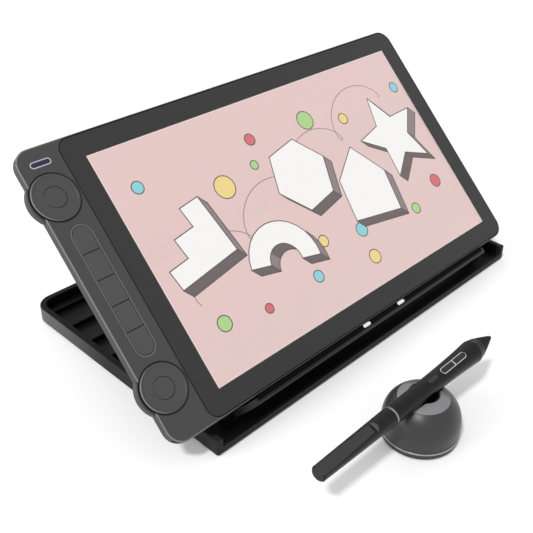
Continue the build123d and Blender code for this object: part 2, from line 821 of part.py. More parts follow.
# Support plate: a ribbed tray that carries the tablet's back, with the ledge at its foot
ledge_inner = -(face_half + seat_gap)
ledge_wall_inner = ledge_inner - ledge_liner
ledge_outer = ledge_wall_inner - ledge_wall
plate_high = plate_length - hinge_run
skin_depth = plate_top_depth + plate_skin
skirt_depth = plate_top_depth + plate_skirt_depth
leg_pivot_run = leg_length - hinge_run
leg_lug_x = leg_width / 2 + leg_side_gap
apron_depth = plate_top_depth + ledge_apron
with BuildPart() as support_plate:
    with BuildSketch(face_at(skirt_depth)) as plate_plan:
        with Locations((0, (plate_high + ledge_outer) / 2)):
            Rectangle(plate_width, plate_high - ledge_outer)
        fillet(plate_plan.vertices().group_by(Axis.Y)[-1], plate_corner_radius)
    extrude(amount=plate_skirt_depth)
    with BuildSketch(face_at(skirt_depth)) as hollow_plan:
        with Locations((0, (plate_high - plate_skirt_wall + ledge_wall_inner) / 2)):
            Rectangle(plate_width - 2 * plate_skirt_wall,
                      plate_high - plate_skirt_wall - ledge_wall_inner)
        fillet(hollow_plan.vertices().group_by(Axis.Y)[-1], plate_corner_radius - plate_skirt_wall)
    extrude(amount=plate_skirt_depth - plate_skin, mode=Mode.SUBTRACT)
    with BuildSketch(face_at(skin_depth)):
        with Locations((0, -(plate_rib_low + plate_rib_high) / 2)):
            with GridLocations(plate_rib_x, 0, plate_rib_count, 1):
                Rectangle(plate_rib_wall, plate_rib_low - plate_rib_high)
        with Locations((0, -plate_rib_high - plate_rib_wall)):
            Rectangle(plate_width - plate_skirt_wall, plate_rib_wall)
    extrude(amount=-(plate_rib_depth - plate_skin))
    ledge_front = Plane(tablet_face.from_local_coords((0, ledge_wall_inner, 0)),
                        x_dir=(1, 0, 0), z_dir=-up_slope)
    with BuildSketch(ledge_front):
        with BuildLine():
            half_top = ledge_top_width / 2
            half_low = half_top + ledge_flare
            Polyline((-half_low, -plate_top_depth), (-half_low, ledge_proud - ledge_flare_drop))
            RadiusArc((-half_low, ledge_proud - ledge_flare_drop), (-half_top, ledge_proud),
                      ledge_flare + ledge_flare_drop / 2)
            Line((-half_top, ledge_proud), (half_top, ledge_proud))
            RadiusArc((half_top, ledge_proud), (half_low, ledge_proud - ledge_flare_drop),
                      ledge_flare + ledge_flare_drop / 2)
            Polyline((half_low, ledge_proud - ledge_flare_drop), (half_low, -plate_top_depth),
                     (-half_low, -plate_top_depth))
        make_face()
    extrude(amount=ledge_wall)
    outer_face = support_plate.faces().sort_by(Axis(tablet_face.origin, up_slope))[0]
    fillet(outer_face.edges().sort_by(outward_axis)[-1], ledge_round)
    with BuildSketch(face_at(0).offset(ledge_proud)):
        with Locations((0, ledge_inner - ledge_liner_cap / 2)):
            Rectangle(plate_width, ledge_liner_cap)
    extrude(amount=-ledge_liner, mode=Mode.SUBTRACT)
    for side in (-1, 1):
        knuckle_start = side * (plate_width - knuckle_length) / 2 - knuckle_length / 2
        with BuildSketch(face_section(knuckle_start)):
            with Locations((-hinge_run, -hinge_depth)):
                Circle(knuckle_radius)
            with Locations((-hinge_run, -(hinge_depth + skin_depth) / 2)):
                Rectangle(2 * knuckle_radius, hinge_depth - skin_depth)
        extrude(amount=knuckle_length)
        with BuildSketch(face_section(knuckle_start - cut_overrun)):
            with Locations((-hinge_run, -hinge_depth)):
                Circle(pin_radius + pin_running)
        extrude(amount=knuckle_length + 2 * cut_overrun, mode=Mode.SUBTRACT)
        lug_start = side * (leg_lug_x + leg_lug_length / 2) - leg_lug_length / 2
        with BuildSketch(face_section(lug_start)):
            with Locations((leg_pivot_run, -hinge_depth)):
                Circle(leg_eye_radius)
            with Locations((leg_pivot_run, -(hinge_depth + skin_depth) / 2)):
                Rectangle(2 * leg_eye_radius, hinge_depth - skin_depth)
            with Locations((leg_pivot_run, -hinge_depth)):
                Circle(pin_radius + pin_fit, mode=Mode.SUBTRACT)
        extrude(amount=leg_lug_length)
    with BuildSketch(face_at(plate_top_depth + plate_pad_sunk)):
        with Locations((0, (plate_pad_high - plate_pad_low) / 2)):
            with GridLocations(2 * plate_pad_x, plate_pad_high + plate_pad_low, 2, 2):
                RectangleRounded(plate_pad_length, plate_pad_width,
                                 pad_corner_share * plate_pad_width)
    extrude(amount=plate_pad_sunk, mode=Mode.SUBTRACT)
support_plate.part.label = "support_plate"
export_step(support_plate.part, "parts/support_plate.step")

with BuildPart() as plate_pads:
    with BuildSketch(face_at(plate_top_depth + plate_pad_sunk)):
        with Locations((0, (plate_pad_high - plate_pad_low) / 2)):
            with GridLocations(2 * plate_pad_x, plate_pad_high + plate_pad_low, 2, 2):
                RectangleRounded(plate_pad_length - 2 * glass_seam,
                                 plate_pad_width - 2 * glass_seam,
                                 pad_corner_share * plate_pad_width)
    extrude(amount=plate_pad_height + plate_pad_sunk)
plate_pads.part.label = "plate_pads"
export_step(plate_pads.part, "parts/plate_pads.step")

# Soft strip that lines the ledge and caps its inner edge, with two pale bumpers in it
with BuildPart() as ledge_pad:
    with BuildSketch(face_at(plate_top_depth)):
        with Locations((0, ledge_inner - ledge_liner / 2)):
            Rectangle(ledge_top_width, ledge_liner)
    extrude(amount=plate_top_depth + ledge_proud)
    with BuildSketch(tablet_face.offset(ledge_proud)):
        with Locations((0, ledge_inner - ledge_liner_cap / 2)):
            Rectangle(ledge_top_width, ledge_liner_cap)
    extrude(amount=-ledge_liner)
    with BuildSketch(tablet_face.offset(ledge_proud)):
        with Locations((0, ledge_inner - bumper_width / 2)):
            with GridLocations(2 * bumper_x, 0, 2, 1):
                Rectangle(bumper_length, bumper_width)
    extrude(amount=-ledge_liner, mode=Mode.SUBTRACT)
ledge_pad.part.label = "ledge_pad"
export_step(ledge_pad.part, "parts/ledge_pad.step")

with BuildPart() as ledge_bumpers:
    with BuildSketch(tablet_face.offset(ledge_proud - ledge_liner)):
        with Locations((0, ledge_inner - bumper_width / 2)):
            with GridLocations(2 * bumper_x, 0, 2, 1):
                Rectangle(bumper_length, bumper_width)
    extrude(amount=ledge_liner + bumper_proud)
    chamfer(ledge_bumpers.faces().group_by(outward_axis)[-1].edges(), bumper_proud)
ledge_bumpers.part.label = "ledge_bumpers"
export_step(ledge_bumpers.part, "parts/ledge_bumpers.step")

# Prop leg: a stamped sheet that swings on two pins and carries a rubber foot bar
leg_pivot = tablet_face.from_local_coords((0, leg_pivot_run, -hinge_depth))
leg_mid = Plane(leg_pivot, x_dir=(1, 0, 0), z_dir=(0, slope_sin, slope_cos))
leg_down = Vector(0, slope_cos, -slope_sin)


def leg_section(x):
    """Plane across X on the leg's pivot, with local x down the leg."""
    return Plane(leg_pivot + Vector(x, 0, 0), x_dir=leg_down, z_dir=(1, 0, 0))


with BuildPart() as leg_pins:
    for side in (-1, 1):
        pin_centre = side * (leg_lug_x + leg_lug_length - pin_recess - leg_pin_length / 2)
        with BuildSketch(leg_section(pin_centre - leg_pin_length / 2)):
            Circle(pin_radius)
        extrude(amount=leg_pin_length)
leg_pins.part.label = "leg_pins"
export_step(leg_pins.part, "parts/leg_pins.step")

with BuildPart() as prop_leg:
    with BuildSketch(leg_mid.offset(-leg_sheet / 2)):
        with Locations((0, leg_length / 2)):
            Rectangle(leg_width, leg_length)
    extrude(amount=leg_sheet)
    with BuildSketch(leg_mid.offset(leg_sheet / 2)):
        with Locations((0, leg_length / 2)):
            with GridLocations(leg_bead_x, 0, leg_bead_count, 1):
                SlotOverall(leg_length - 2 * leg_bead_margin, leg_bead_width, rotation=90)
    extrude(amount=leg_bead_depth)
    for side in (-1, 1):
        eye_start = side * (leg_width - leg_eye_length) / 2 - leg_eye_length / 2
        with BuildSketch(leg_section(eye_start)):
            Circle(leg_eye_radius)
        extrude(amount=leg_eye_length)
        with BuildSketch(leg_section(eye_start - cut_overrun)):
            Circle(pin_radius + pin_running)
        extrude(amount=leg_eye_length + 2 * cut_overrun, mode=Mode.SUBTRACT)
prop_leg.part.label = "prop_leg"
export_step(prop_leg.part, "parts/prop_leg.step")

with BuildPart() as leg_foot:
    with BuildSketch(leg_section(-leg_width / 2)):
        with Locations((leg_length, 0)):
            Circle(foot_bar_radius)
        with Locations((leg_length - foot_bar_lip / 2, 0)):
            Rectangle(foot_bar_lip, 2 * foot_bar_radius)
            Rectangle(foot_bar_lip, leg_sheet, mode=Mode.SUBTRACT)
    extrude(amount=leg_width)
leg_foot.part.label = "leg_foot"
export_step(leg_foot.part, "parts/leg_foot.step")

# Pen: lengths run from the nib's tip along the pen's axis, heights towards the key side
pen_height = groove_bottom + pen_waist_radius + seat_gap
pen_tip = Vector(pen_tip_x, holder_y, pen_height)
roll_cos = cos(radians(pen_roll))
roll_sin = sin(radians(pen_roll))
pen_key_up = Vector(0, -roll_sin, roll_cos)
pen_section = Plane(pen_tip, x_dir=(-1, 0, 0), z_dir=(0, roll_cos, roll_sin))
pen_axis = Axis(pen_tip, (-1, 0, 0))


def pen_across(length):
    """Plane square to the pen's axis, at a length from the nib's tip."""
    return Plane(pen_tip - Vector(length, 0, 0), x_dir=(0, roll_cos, roll_sin), z_dir=(-1, 0, 0))


def pen_top(height):
    """Plane parallel to the pen's axis, this far above it on the key side."""
    return Plane(pen_tip + pen_key_up * height, x_dir=(-1, 0, 0), z_dir=pen_key_up)


def barrel_envelope(extra):
    """Half section of the barrel's outside, swollen by a little."""
    with BuildSketch(pen_section) as envelope:
        with BuildLine():
            Polyline((pen_nose_seam, 0), (pen_nose_seam, pen_nose_radius + extra),
                     (pen_ridge, pen_ridge_radius + extra))
            Spline((pen_ridge, pen_ridge_radius + extra),
                   (pen_waist, pen_waist_radius + extra),
                   (pen_ring_start, pen_joint_radius + extra),
                   tangents=((1, -pen_ridge_slope_share), (1, 0)))
            Polyline((pen_ring_start, pen_joint_radius + extra), (pen_ring_start, 0),
                     (pen_nose_seam, 0))
        make_face()
    return envelope.sketch


with BuildPart() as pen_barrel:
    revolve(barrel_envelope(0), axis=pen_axis)
    with BuildSketch(pen_across(pen_ring_start)):
        Circle(pen_spigot_radius)
    extrude(amount=pen_spigot)
    with BuildSketch(pen_across(pen_nose_seam)):
        Circle(pen_bore_radius)
    extrude(amount=pen_ring_start + pen_spigot - pen_nose_seam, mode=Mode.SUBTRACT)
    with BuildSketch(pen_across(pen_nose_seam)):
        Circle(pen_socket_radius + pin_fit)
    extrude(amount=pen_spigot, mode=Mode.SUBTRACT)
    with BuildSketch(pen_top(pen_slot_floor)):
        with Locations(((pen_slot_start + pen_slot_end) / 2, 0)):
            SlotOverall(pen_slot_end - pen_slot_start, pen_slot_width)
        with Locations((pen_small_key_start + pen_small_key_length / 2, 0)):
            SlotOverall(pen_small_key_length, pen_small_key_width)
    extrude(amount=pen_ridge_radius, mode=Mode.SUBTRACT)
pen_barrel.part.label = "pen_barrel"
export_step(pen_barrel.part, "parts/pen_barrel.step")

with BuildPart() as pen_nose:
    with BuildSketch(pen_section):
        with BuildLine():
            Polyline((pen_nib_out, 0), (pen_nib_out, pen_nose_tip_radius))
            Spline((pen_nib_out, pen_nose_tip_radius),
                   ((pen_nib_out + pen_nose_seam) / 2,
                    (pen_nose_tip_radius + pen_nose_radius) / 2 + pen_nose_bulge),
                   (pen_nose_seam, pen_nose_radius))
            Polyline((pen_nose_seam, pen_nose_radius), (pen_nose_seam, 0), (pen_nib_out, 0))
        make_face()
    revolve(axis=pen_axis)
    with BuildSketch(pen_across(pen_nose_seam)):
        Circle(pen_socket_radius)
    extrude(amount=pen_spigot)
    with BuildSketch(pen_across(pen_nose_seam + pen_spigot)):
        Circle(pen_coil_radius + pin_fit)
    extrude(amount=-pen_coil_length, mode=Mode.SUBTRACT)
    with BuildSketch(pen_across(0)):
        Circle(pen_nib_radius + running_gap)
    extrude(amount=pen_nose_seam, mode=Mode.SUBTRACT)
pen_nose.part.label = "pen_nose"
export_step(pen_nose.part, "parts/pen_nose.step")

with BuildPart() as pen_ring:
    with BuildSketch(pen_across(pen_ring_start)):
        Circle(pen_ring_radius)
        Circle(pen_spigot_radius + pin_fit, mode=Mode.SUBTRACT)
    extrude(amount=pen_ring_width)
pen_ring.part.label = "pen_ring"
export_step(pen_ring.part, "parts/pen_ring.step")

tail_start = pen_ring_start + pen_ring_width
with BuildPart() as pen_tail:
    with BuildSketch(pen_section):
        Polygon((tail_start, 0), (tail_start, pen_joint_radius),
                (pen_length - pen_tail_round, pen_tail_radius),
                (pen_length, pen_tail_radius - pen_tail_round), (pen_length, 0), align=None)
    revolve(axis=pen_axis)
    with BuildSketch(pen_across(tail_start)):
        Circle(pen_spigot_radius + pin_fit)
    extrude(amount=pen_spigot, mode=Mode.SUBTRACT)
    with BuildSketch(pen_across(tail_start)):
        Circle(pen_tail_bore)
    extrude(amount=pen_tail_bore_length, mode=Mode.SUBTRACT)
    with BuildSketch(pen_section):
        Polygon((pen_notch_start, pen_joint_radius + cut_overrun),
                (pen_notch_start, pen_facet_start_height + pen_notch_drop),
                (pen_notch_start + pen_notch_length / 2, pen_facet_start_height - pen_notch_drop),
                (pen_notch_start + pen_notch_length, pen_facet_start_height),
                (pen_length + cut_overrun, pen_facet_end_height),
                (pen_length + cut_overrun, pen_joint_radius + cut_overrun), align=None)
    extrude(amount=pen_joint_radius, both=True, mode=Mode.SUBTRACT)
pen_tail.part.label = "pen_tail"
export_step(pen_tail.part, "parts/pen_tail.step")

# Nib, with the coil round it, the pressure sensor behind it and the inner board
with BuildPart() as pen_nib:
    with BuildSketch(pen_section):
        with BuildLine():
            nib_end = pen_nose_seam + pen_spigot
            RadiusArc((0, 0), (pen_nib_radius, pen_nib_radius), pen_nib_radius)
            Polyline((pen_nib_radius, pen_nib_radius), (nib_end, pen_nib_radius), (nib_end, 0),
                     (0, 0))
        make_face()
    revolve(axis=pen_axis)
pen_nib.part.label = "pen_nib"
export_step(pen_nib.part, "parts/pen_nib.step")

with BuildPart() as pen_coil:
    with BuildSketch(pen_across(pen_nose_seam + pen_spigot)):
        Circle(pen_coil_radius)
        Circle(pen_nib_radius + 2 * running_gap, mode=Mode.SUBTRACT)
    extrude(amount=-pen_coil_length)
pen_coil.part.label = "pen_coil"
export_step(pen_coil.part, "parts/pen_coil.step")

sensor_start = pen_nose_seam + pen_spigot + pen_nib_travel
with BuildPart() as pen_pressure_sensor:
    with BuildSketch(pen_across(sensor_start)):
        Circle(pen_bore_radius - pin_fit)
    extrude(amount=pen_sensor_length)
pen_pressure_sensor.part.label = "pen_pressure_sensor"
export_step(pen_pressure_sensor.part, "parts/pen_pressure_sensor.step")

with BuildPart() as pen_circuit:
    with BuildSketch(pen_top(-pen_board_thickness / 2)):
        with Locations((sensor_start + pen_sensor_length + pen_board_length / 2, 0)):
            Rectangle(pen_board_length, pen_board_width)
    extrude(amount=pen_board_thickness)
    with BuildSketch(pen_top(pen_board_thickness / 2)):
        with Locations(((pen_slot_start + pen_slot_end) / 2, 0)):
            with GridLocations((pen_slot_end - pen_slot_start) / 2, 0, 2, 1):
                Rectangle(pen_switch_side, pen_switch_side)
        with Locations((pen_small_key_start + pen_small_key_length / 2, 0)):
            Rectangle(pen_switch_side, pen_switch_side)
    extrude(amount=pen_switch_height)
pen_circuit.part.label = "pen_circuit"
export_step(pen_circuit.part, "parts/pen_circuit.step")

# Side keys in their bright frame, and the small key behind them
with BuildPart() as pen_key_trim:
    with BuildSketch(pen_top(pen_slot_floor)):
        with Locations(((pen_slot_start + pen_slot_end) / 2, 0)):
            SlotOverall(pen_slot_end - pen_slot_start, pen_slot_width)
            SlotOverall(pen_slot_end - pen_slot_start - 2 * pen_trim_wall,
                        pen_slot_width - 2 * pen_trim_wall, mode=Mode.SUBTRACT)
            Rectangle(pen_divider, pen_slot_width - pen_trim_wall)
    extrude(amount=pen_ridge_radius)
    revolve(barrel_envelope(pen_trim_proud), axis=pen_axis, mode=Mode.INTERSECT)
pen_key_trim.part.label = "pen_key_trim"
export_step(pen_key_trim.part, "parts/pen_key_trim.step")

key_start = pen_slot_start + pen_trim_wall + pen_key_gap
key_end = pen_slot_end - pen_trim_wall - pen_key_gap
key_middle = (key_start + key_end) / 2
divider_side = pen_divider / 2 + pen_key_gap
for key_name, part_start, part_end in (("pen_key_front", key_start, key_middle - divider_side),
                                       ("pen_key_rear", key_middle + divider_side, key_end)):
    with BuildPart() as pen_key:
        with BuildSketch(pen_top(pen_slot_floor + pen_key_seat)):
            with Locations((key_middle, 0)):
                SlotOverall(key_end - key_start,
                            pen_slot_width - 2 * (pen_trim_wall + pen_key_gap))
            with Locations(((part_start + part_end) / 2, 0)):
                Rectangle(part_end - part_start, pen_slot_width, mode=Mode.INTERSECT)
        extrude(amount=pen_ridge_radius)
        revolve(barrel_envelope(pen_key_proud), axis=pen_axis, mode=Mode.INTERSECT)
    pen_key.part.label = key_name
    export_step(pen_key.part, f"parts/{key_name}.step")

with BuildPart() as pen_key_small:
    with BuildSketch(pen_top(pen_slot_floor + pen_key_seat)):
        with Locations((pen_small_key_start + pen_small_key_length / 2, 0)):
            SlotOverall(pen_small_key_length - 2 * pen_key_gap,
                        pen_small_key_width - 2 * pen_key_gap)
    extrude(amount=pen_ridge_radius)
    revolve(barrel_envelope(pen_small_key_proud), axis=pen_axis, mode=Mode.INTERSECT)
pen_key_small.part.label = "pen_key_small"
export_step(pen_key_small.part, "parts/pen_key_small.step")

# Pen holder: heights above the desk and radii from its upright axis
holder_section = Plane((holder_x, holder_y, 0), x_dir=(1, 0, 0), z_dir=(0, -1, 0))
holder_axis = Axis((holder_x, holder_y, 0), (0, 0, 1))
dome_start = holder_ring_bottom + holder_ring_height + holder_turn_gap
dome_bore = holder_radius - holder_wall
crown_points = [(holder_radius, dome_start), (holder_bulge_radius, holder_bulge_height),
                (holder_shoulder_radius, holder_shoulder_height),
                (holder_crown_radius, holder_crown_height), (0, holder_height)]
groove_axis = Plane((holder_x, holder_y, groove_bottom + groove_radius), x_dir=(0, 1, 0),
                    z_dir=(1, 0, 0))


def holder_at(height):
    """Level plane centred on the holder."""
    return Plane((holder_x, holder_y, height))


def crown_envelope():
    """Half section of everything under the dome's outside."""
    with BuildSketch(holder_section) as envelope:
        with BuildLine():
            Spline(*crown_points, tangents=((0, 1), (-1, 0)))
            Polyline((0, holder_height), (0, dome_start), crown_points[0])
        make_face()
    return envelope.sketch


with BuildPart() as holder_dome:
    revolve(crown_envelope(), axis=holder_axis)
    with BuildSketch(holder_section):
        Polygon((0, dome_start), (dome_bore, dome_start),
                (dome_bore, dome_start + 2 * collar_height),
                (holder_shoulder_radius - holder_wall, saddle_seat_height - holder_wall),
                (0, saddle_seat_height - holder_wall), align=None)
    revolve(axis=holder_axis, mode=Mode.SUBTRACT)
    with BuildSketch(holder_at(saddle_seat_height)):
        Circle(saddle_radius)
    extrude(amount=holder_height, mode=Mode.SUBTRACT)
    with BuildSketch(holder_at(dome_start)):
        Circle(well_top_radius + well_wall + saddle_gap)
    extrude(amount=holder_height, mode=Mode.SUBTRACT)
    with BuildSketch(groove_axis.offset(-holder_radius)):
        Circle(groove_radius)
    extrude(amount=2 * holder_radius, mode=Mode.SUBTRACT)
holder_dome.part.label = "holder_dome"
export_step(holder_dome.part, "parts/holder_dome.step")

with BuildPart() as holder_saddle:
    revolve(crown_envelope(), axis=holder_axis)
    with BuildSketch(holder_at(saddle_seat_height)):
        Circle(saddle_radius - saddle_gap)
    extrude(amount=holder_height, mode=Mode.INTERSECT)
    with BuildSketch(holder_section):
        Polygon((0, saddle_seat_height), (well_top_radius + well_wall, saddle_seat_height),
                (well_waist_radius + well_wall, well_waist_height - well_wall),
                (well_floor_radius + well_wall, well_floor_height - well_wall),
                (0, well_floor_height - well_wall), align=None)
    revolve(axis=holder_axis)
    with BuildSketch(holder_section):
        Polygon((0, well_floor_height), (well_floor_radius, well_floor_height),
                (well_waist_radius, well_waist_height), (well_top_radius, groove_bottom),
                (well_top_radius, holder_height + cut_overrun), (0, holder_height + cut_overrun),
                align=None)
    revolve(axis=holder_axis, mode=Mode.SUBTRACT)
    with BuildSketch(groove_axis.offset(-holder_radius)):
        Circle(groove_radius)
    extrude(amount=2 * holder_radius, mode=Mode.SUBTRACT)
holder_saddle.part.label = "holder_saddle"
export_step(holder_saddle.part, "parts/holder_saddle.step")

with BuildPart() as holder_ring:
    with BuildSketch(holder_at(holder_ring_bottom)):
        Circle(holder_ring_radius)
        Circle(dome_bore, mode=Mode.SUBTRACT)
    extrude(amount=holder_ring_height)
    chamfer(holder_ring.edges().filter_by(GeomType.CIRCLE).sort_by(SortBy.RADIUS)[-2:],
            saddle_gap)
holder_ring.part.label = "holder_ring"
export_step(holder_ring.part, "parts/holder_ring.step")

with BuildPart() as holder_base:
    with BuildSketch(holder_at(holder_base_bottom)):
        Circle(holder_radius)
    extrude(amount=holder_ring_bottom - holder_base_bottom)
    chamfer(holder_base.faces().sort_by(Axis.Z)[0].edges(), holder_base_edge)
    with BuildSketch(holder_at(holder_ring_bottom)):
        Circle(dome_bore - running_gap)
        Circle(dome_bore - running_gap - collar_wall, mode=Mode.SUBTRACT)
    extrude(amount=dome_start + collar_height - holder_ring_bottom)
    with BuildSketch(holder_at(holder_base_bottom)):
        Circle(holder_foot_radius)
        Circle(holder_foot_radius - holder_foot_wall, mode=Mode.SUBTRACT)
    extrude(amount=holder_foot_height - holder_base_bottom, mode=Mode.SUBTRACT)
holder_base.part.label = "holder_base"
export_step(holder_base.part, "parts/holder_base.step")

with BuildPart() as holder_foot:
    with BuildSketch(holder_at(0)):
        Circle(holder_foot_radius)
        Circle(holder_foot_radius - holder_foot_wall, mode=Mode.SUBTRACT)
    extrude(amount=holder_foot_height)
holder_foot.part.label = "holder_foot"
export_step(holder_foot.part, "parts/holder_foot.step")

# Steel weight in the holder's base, with the spare nibs standing in it
with BuildPart() as holder_weight:
    with BuildSketch(holder_at(holder_ring_bottom)):
        Circle(weight_radius)
    extrude(amount=weight_height)
    with BuildSketch(holder_at(holder_ring_bottom + nib_sunk)):
        with PolarLocations(nib_circle_radius, nib_count):
            Circle(nib_radius + running_gap)
    extrude(amount=weight_height, mode=Mode.SUBTRACT)
holder_weight.part.label = "holder_weight"
export_step(holder_weight.part, "parts/holder_weight.step")

with BuildPart() as spare_nibs:
    with BuildSketch(holder_at(holder_ring_bottom + nib_sunk)):
        with PolarLocations(nib_circle_radius, nib_count):
            Circle(nib_radius)
    extrude(amount=nib_length)
    chamfer(spare_nibs.faces().group_by(Axis.Z)[-1].edges(), nib_tip_edge)
spare_nibs.part.label = "spare_nibs"
export_step(spare_nibs.part, "parts/spare_nibs.step")
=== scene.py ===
# %% [markdown]
# # A graphics tablet with screen, on its stand, with pen and pen holder
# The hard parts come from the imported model, which this notebook loads first. Blender then
# gives every part its real finish, adds the picture behind the glass and the small
# fasteners, and sets up the floor, the light and the camera.

# %% Load the model
import bpy
import bmesh
import math
from mathutils import Matrix, Vector


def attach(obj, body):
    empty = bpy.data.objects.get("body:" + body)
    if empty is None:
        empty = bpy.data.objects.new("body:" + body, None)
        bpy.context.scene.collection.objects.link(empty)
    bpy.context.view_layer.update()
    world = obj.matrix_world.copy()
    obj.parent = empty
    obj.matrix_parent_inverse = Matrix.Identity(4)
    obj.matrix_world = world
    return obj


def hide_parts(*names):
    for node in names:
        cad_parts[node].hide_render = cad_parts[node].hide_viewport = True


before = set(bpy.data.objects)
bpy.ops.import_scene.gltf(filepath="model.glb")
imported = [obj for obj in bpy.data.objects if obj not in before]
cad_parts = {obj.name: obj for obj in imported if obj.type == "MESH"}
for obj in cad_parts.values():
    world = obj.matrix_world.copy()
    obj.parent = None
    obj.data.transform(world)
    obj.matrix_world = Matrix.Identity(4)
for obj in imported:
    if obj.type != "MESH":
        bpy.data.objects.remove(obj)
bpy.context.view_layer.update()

# %% [markdown]
# ## Working in millimetres on the tablet's face
# The tablet leans back at forty-five degrees, so places on it are easiest to give on its
# own plane, in millimetres to the right and up the slope. One matrix then carries a shape
# drawn flat on the origin to the tablet's face, in the metres that Blender uses.

# %% The tablet's plane
MM = 0.001
TILT = math.radians(45.0)
FACE_Y = -30.983
FACE_Z = 95.4498
UP_SLOPE = Vector((0.0, math.cos(TILT), math.sin(TILT)))
FACE_CENTRE = Vector((0.0, FACE_Y * MM, FACE_Z * MM))
ON_TABLET = Matrix.Translation(FACE_CENTRE) @ Matrix.Rotation(TILT, 4, "X")
PICTURE_WIDTH = 293.76
PICTURE_HEIGHT = 165.24
print("face centre", tuple(round(c, 4) for c in FACE_CENTRE))

# %% [markdown]
# ## Colours and shader nodes
# Colours are written as the hex values that a paint program shows. Shaders want linear
# light, so one function converts them. A second small function adds a shader node with its
# settings and its links, which keeps each material readable.

# %% Colour and node helpers


def linear(hex_colour):
    """Turn an sRGB hex colour into the linear values that shaders use."""
    channels = [int(hex_colour[i:i + 2], 16) / 255 for i in (1, 3, 5)]
    return [c / 12.92 if c <= 0.04045 else ((c + 0.055) / 1.055) ** 2.4 for c in channels] + [1.0]


def add_node(tree, kind, values=None, links=None, **settings):
    """Add a node, set its properties and socket values, and link its inputs."""
    made = tree.nodes.new(kind)
    for name, value in settings.items():
        setattr(made, name, value)
    for socket, value in (values or {}).items():
        made.inputs[socket].default_value = value
    for socket, source in (links or {}).items():
        tree.links.new(source, made.inputs[socket])
    return made


def new_material(name, values):
    """Start a material and give back it, its nodes and its Principled shader."""
    material = bpy.data.materials.new(name)
    material.use_nodes = True
    shader = material.node_tree.nodes["Principled BSDF"]
    for socket, value in values.items():
        shader.inputs[socket].default_value = value
    return material, material.node_tree, shader


# %% [markdown]
# ## Moulded plastic
# Nearly everything on this desk set is injection-moulded ABS. Its skin copies the texture
# that was eroded into the steel mould: tiny pits a tenth of a millimetre across, which
# break up the gloss. A noise pattern drives a little colour and roughness variation and a
# bump, and the Bevel node rounds every edge by a fraction of a millimetre, because no
# mould leaves a knife edge. The true grain is too fine for the picture, so it is drawn
# a few times coarser. A second, broad noise keeps large faces from looking like paint. The
# pen's soft coat and the parts of nylon, acetal and acrylic follow the same recipe.

# %% Moulded plastic
CLOUD_MM = 38.0


def moulded_plastic(name, colour, roughness, grain_mm=0.5, grain_depth_mm=0.02, edge_mm=0.3,
                    specular=0.5, variation=0.06):
    """Matte or satin plastic with a mould texture and softened edges."""
    material, tree, shader = new_material(name, {"IOR": 1.46, "Specular IOR Level": specular})
    place = add_node(tree, "ShaderNodeTexCoord").outputs["Object"]
    grain = add_node(tree, "ShaderNodeTexNoise", {"Scale": 1000 / grain_mm, "Detail": 3.0},
                     {"Vector": place})
    cloud = add_node(tree, "ShaderNodeTexNoise", {"Scale": 1000 / CLOUD_MM, "Detail": 2.0},
                     {"Vector": place})
    low, high = linear(colour), linear(colour)
    low = [c * (1 - variation) for c in low[:3]] + [1.0]
    high = [c * (1 + variation) for c in high[:3]] + [1.0]
    tint = add_node(tree, "ShaderNodeMix", {"A": low, "B": high}, data_type="RGBA")
    mixed = add_node(tree, "ShaderNodeMath", {1: 0.5}, {0: cloud.outputs["Fac"]},
                     operation="MULTIPLY")
    both = add_node(tree, "ShaderNodeMath", {1: 0.5}, {0: grain.outputs["Fac"]},
                    operation="MULTIPLY_ADD")
    tree.links.new(mixed.outputs[0], both.inputs[2])
    tree.links.new(both.outputs[0], tint.inputs["Factor"])
    gloss = add_node(tree, "ShaderNodeMapRange",
                     {"To Min": roughness - 0.05, "To Max": roughness + 0.05},
                     {"Value": grain.outputs["Fac"]})
    edge = add_node(tree, "ShaderNodeBevel", {"Radius": edge_mm * MM}, samples=4)
    bump = add_node(tree, "ShaderNodeBump", {"Strength": 0.35, "Distance": grain_depth_mm * MM},
                    {"Height": grain.outputs["Fac"], "Normal": edge.outputs["Normal"]})
    tree.links.new(tint.outputs["Result"], shader.inputs["Base Color"])
    tree.links.new(gloss.outputs["Result"], shader.inputs["Roughness"])
    tree.links.new(bump.outputs["Normal"], shader.inputs["Normal"])
    return material


# %% [markdown]
# The tablet's plastics are dark greys, paler on the front, the dials and the keys than at the
# back. The stand's are nearly black and coarser. The key with the lit outline is smoked acrylic,
# which is smoother.

# %% Plastics of the tablet and the stand
strip_plastic = moulded_plastic("strip_fine_matte_abs", "#373738", 0.46, edge_mm=0.5,
                                variation=0.16)
rear_plastic = moulded_plastic("rear_fine_matte_abs", "#303031", 0.5, edge_mm=0.4)
dial_plastic = moulded_plastic("dial_fine_matte_abs", "#3c3c3d", 0.42, edge_mm=0.25,
                               variation=0.12)
key_plastic = moulded_plastic("key_fine_matte_abs", "#404041", 0.42, edge_mm=0.35,
                              variation=0.16)
base_plastic = moulded_plastic("base_coarse_matte_abs", "#060607", 0.6, grain_mm=0.7,
                               grain_depth_mm=0.03, edge_mm=0.4, specular=0.16)
plate_plastic = moulded_plastic("plate_satin_abs", "#0d0d0e", 0.5, grain_mm=0.7,
                                grain_depth_mm=0.03, edge_mm=0.4, specular=0.35)
switch_plastic = moulded_plastic("switch_plain_nylon", "#1c1c1d", 0.55)
lit_key_plastic = moulded_plastic("lit_key_smoked_acrylic", "#12142a", 0.25, grain_mm=0.6,
                                  grain_depth_mm=0.002, edge_mm=0.15)
guide_plastic = moulded_plastic("light_guide_acrylic", "#e8eaee", 0.2)
print("finish of the dials:", dial_plastic.name)

# %% [markdown]
# The pen feels soft because its barrel is coated, so it has a broad, gentle gloss. Its nose
# is plain matte plastic, and the keys are polished so that fingers find them.

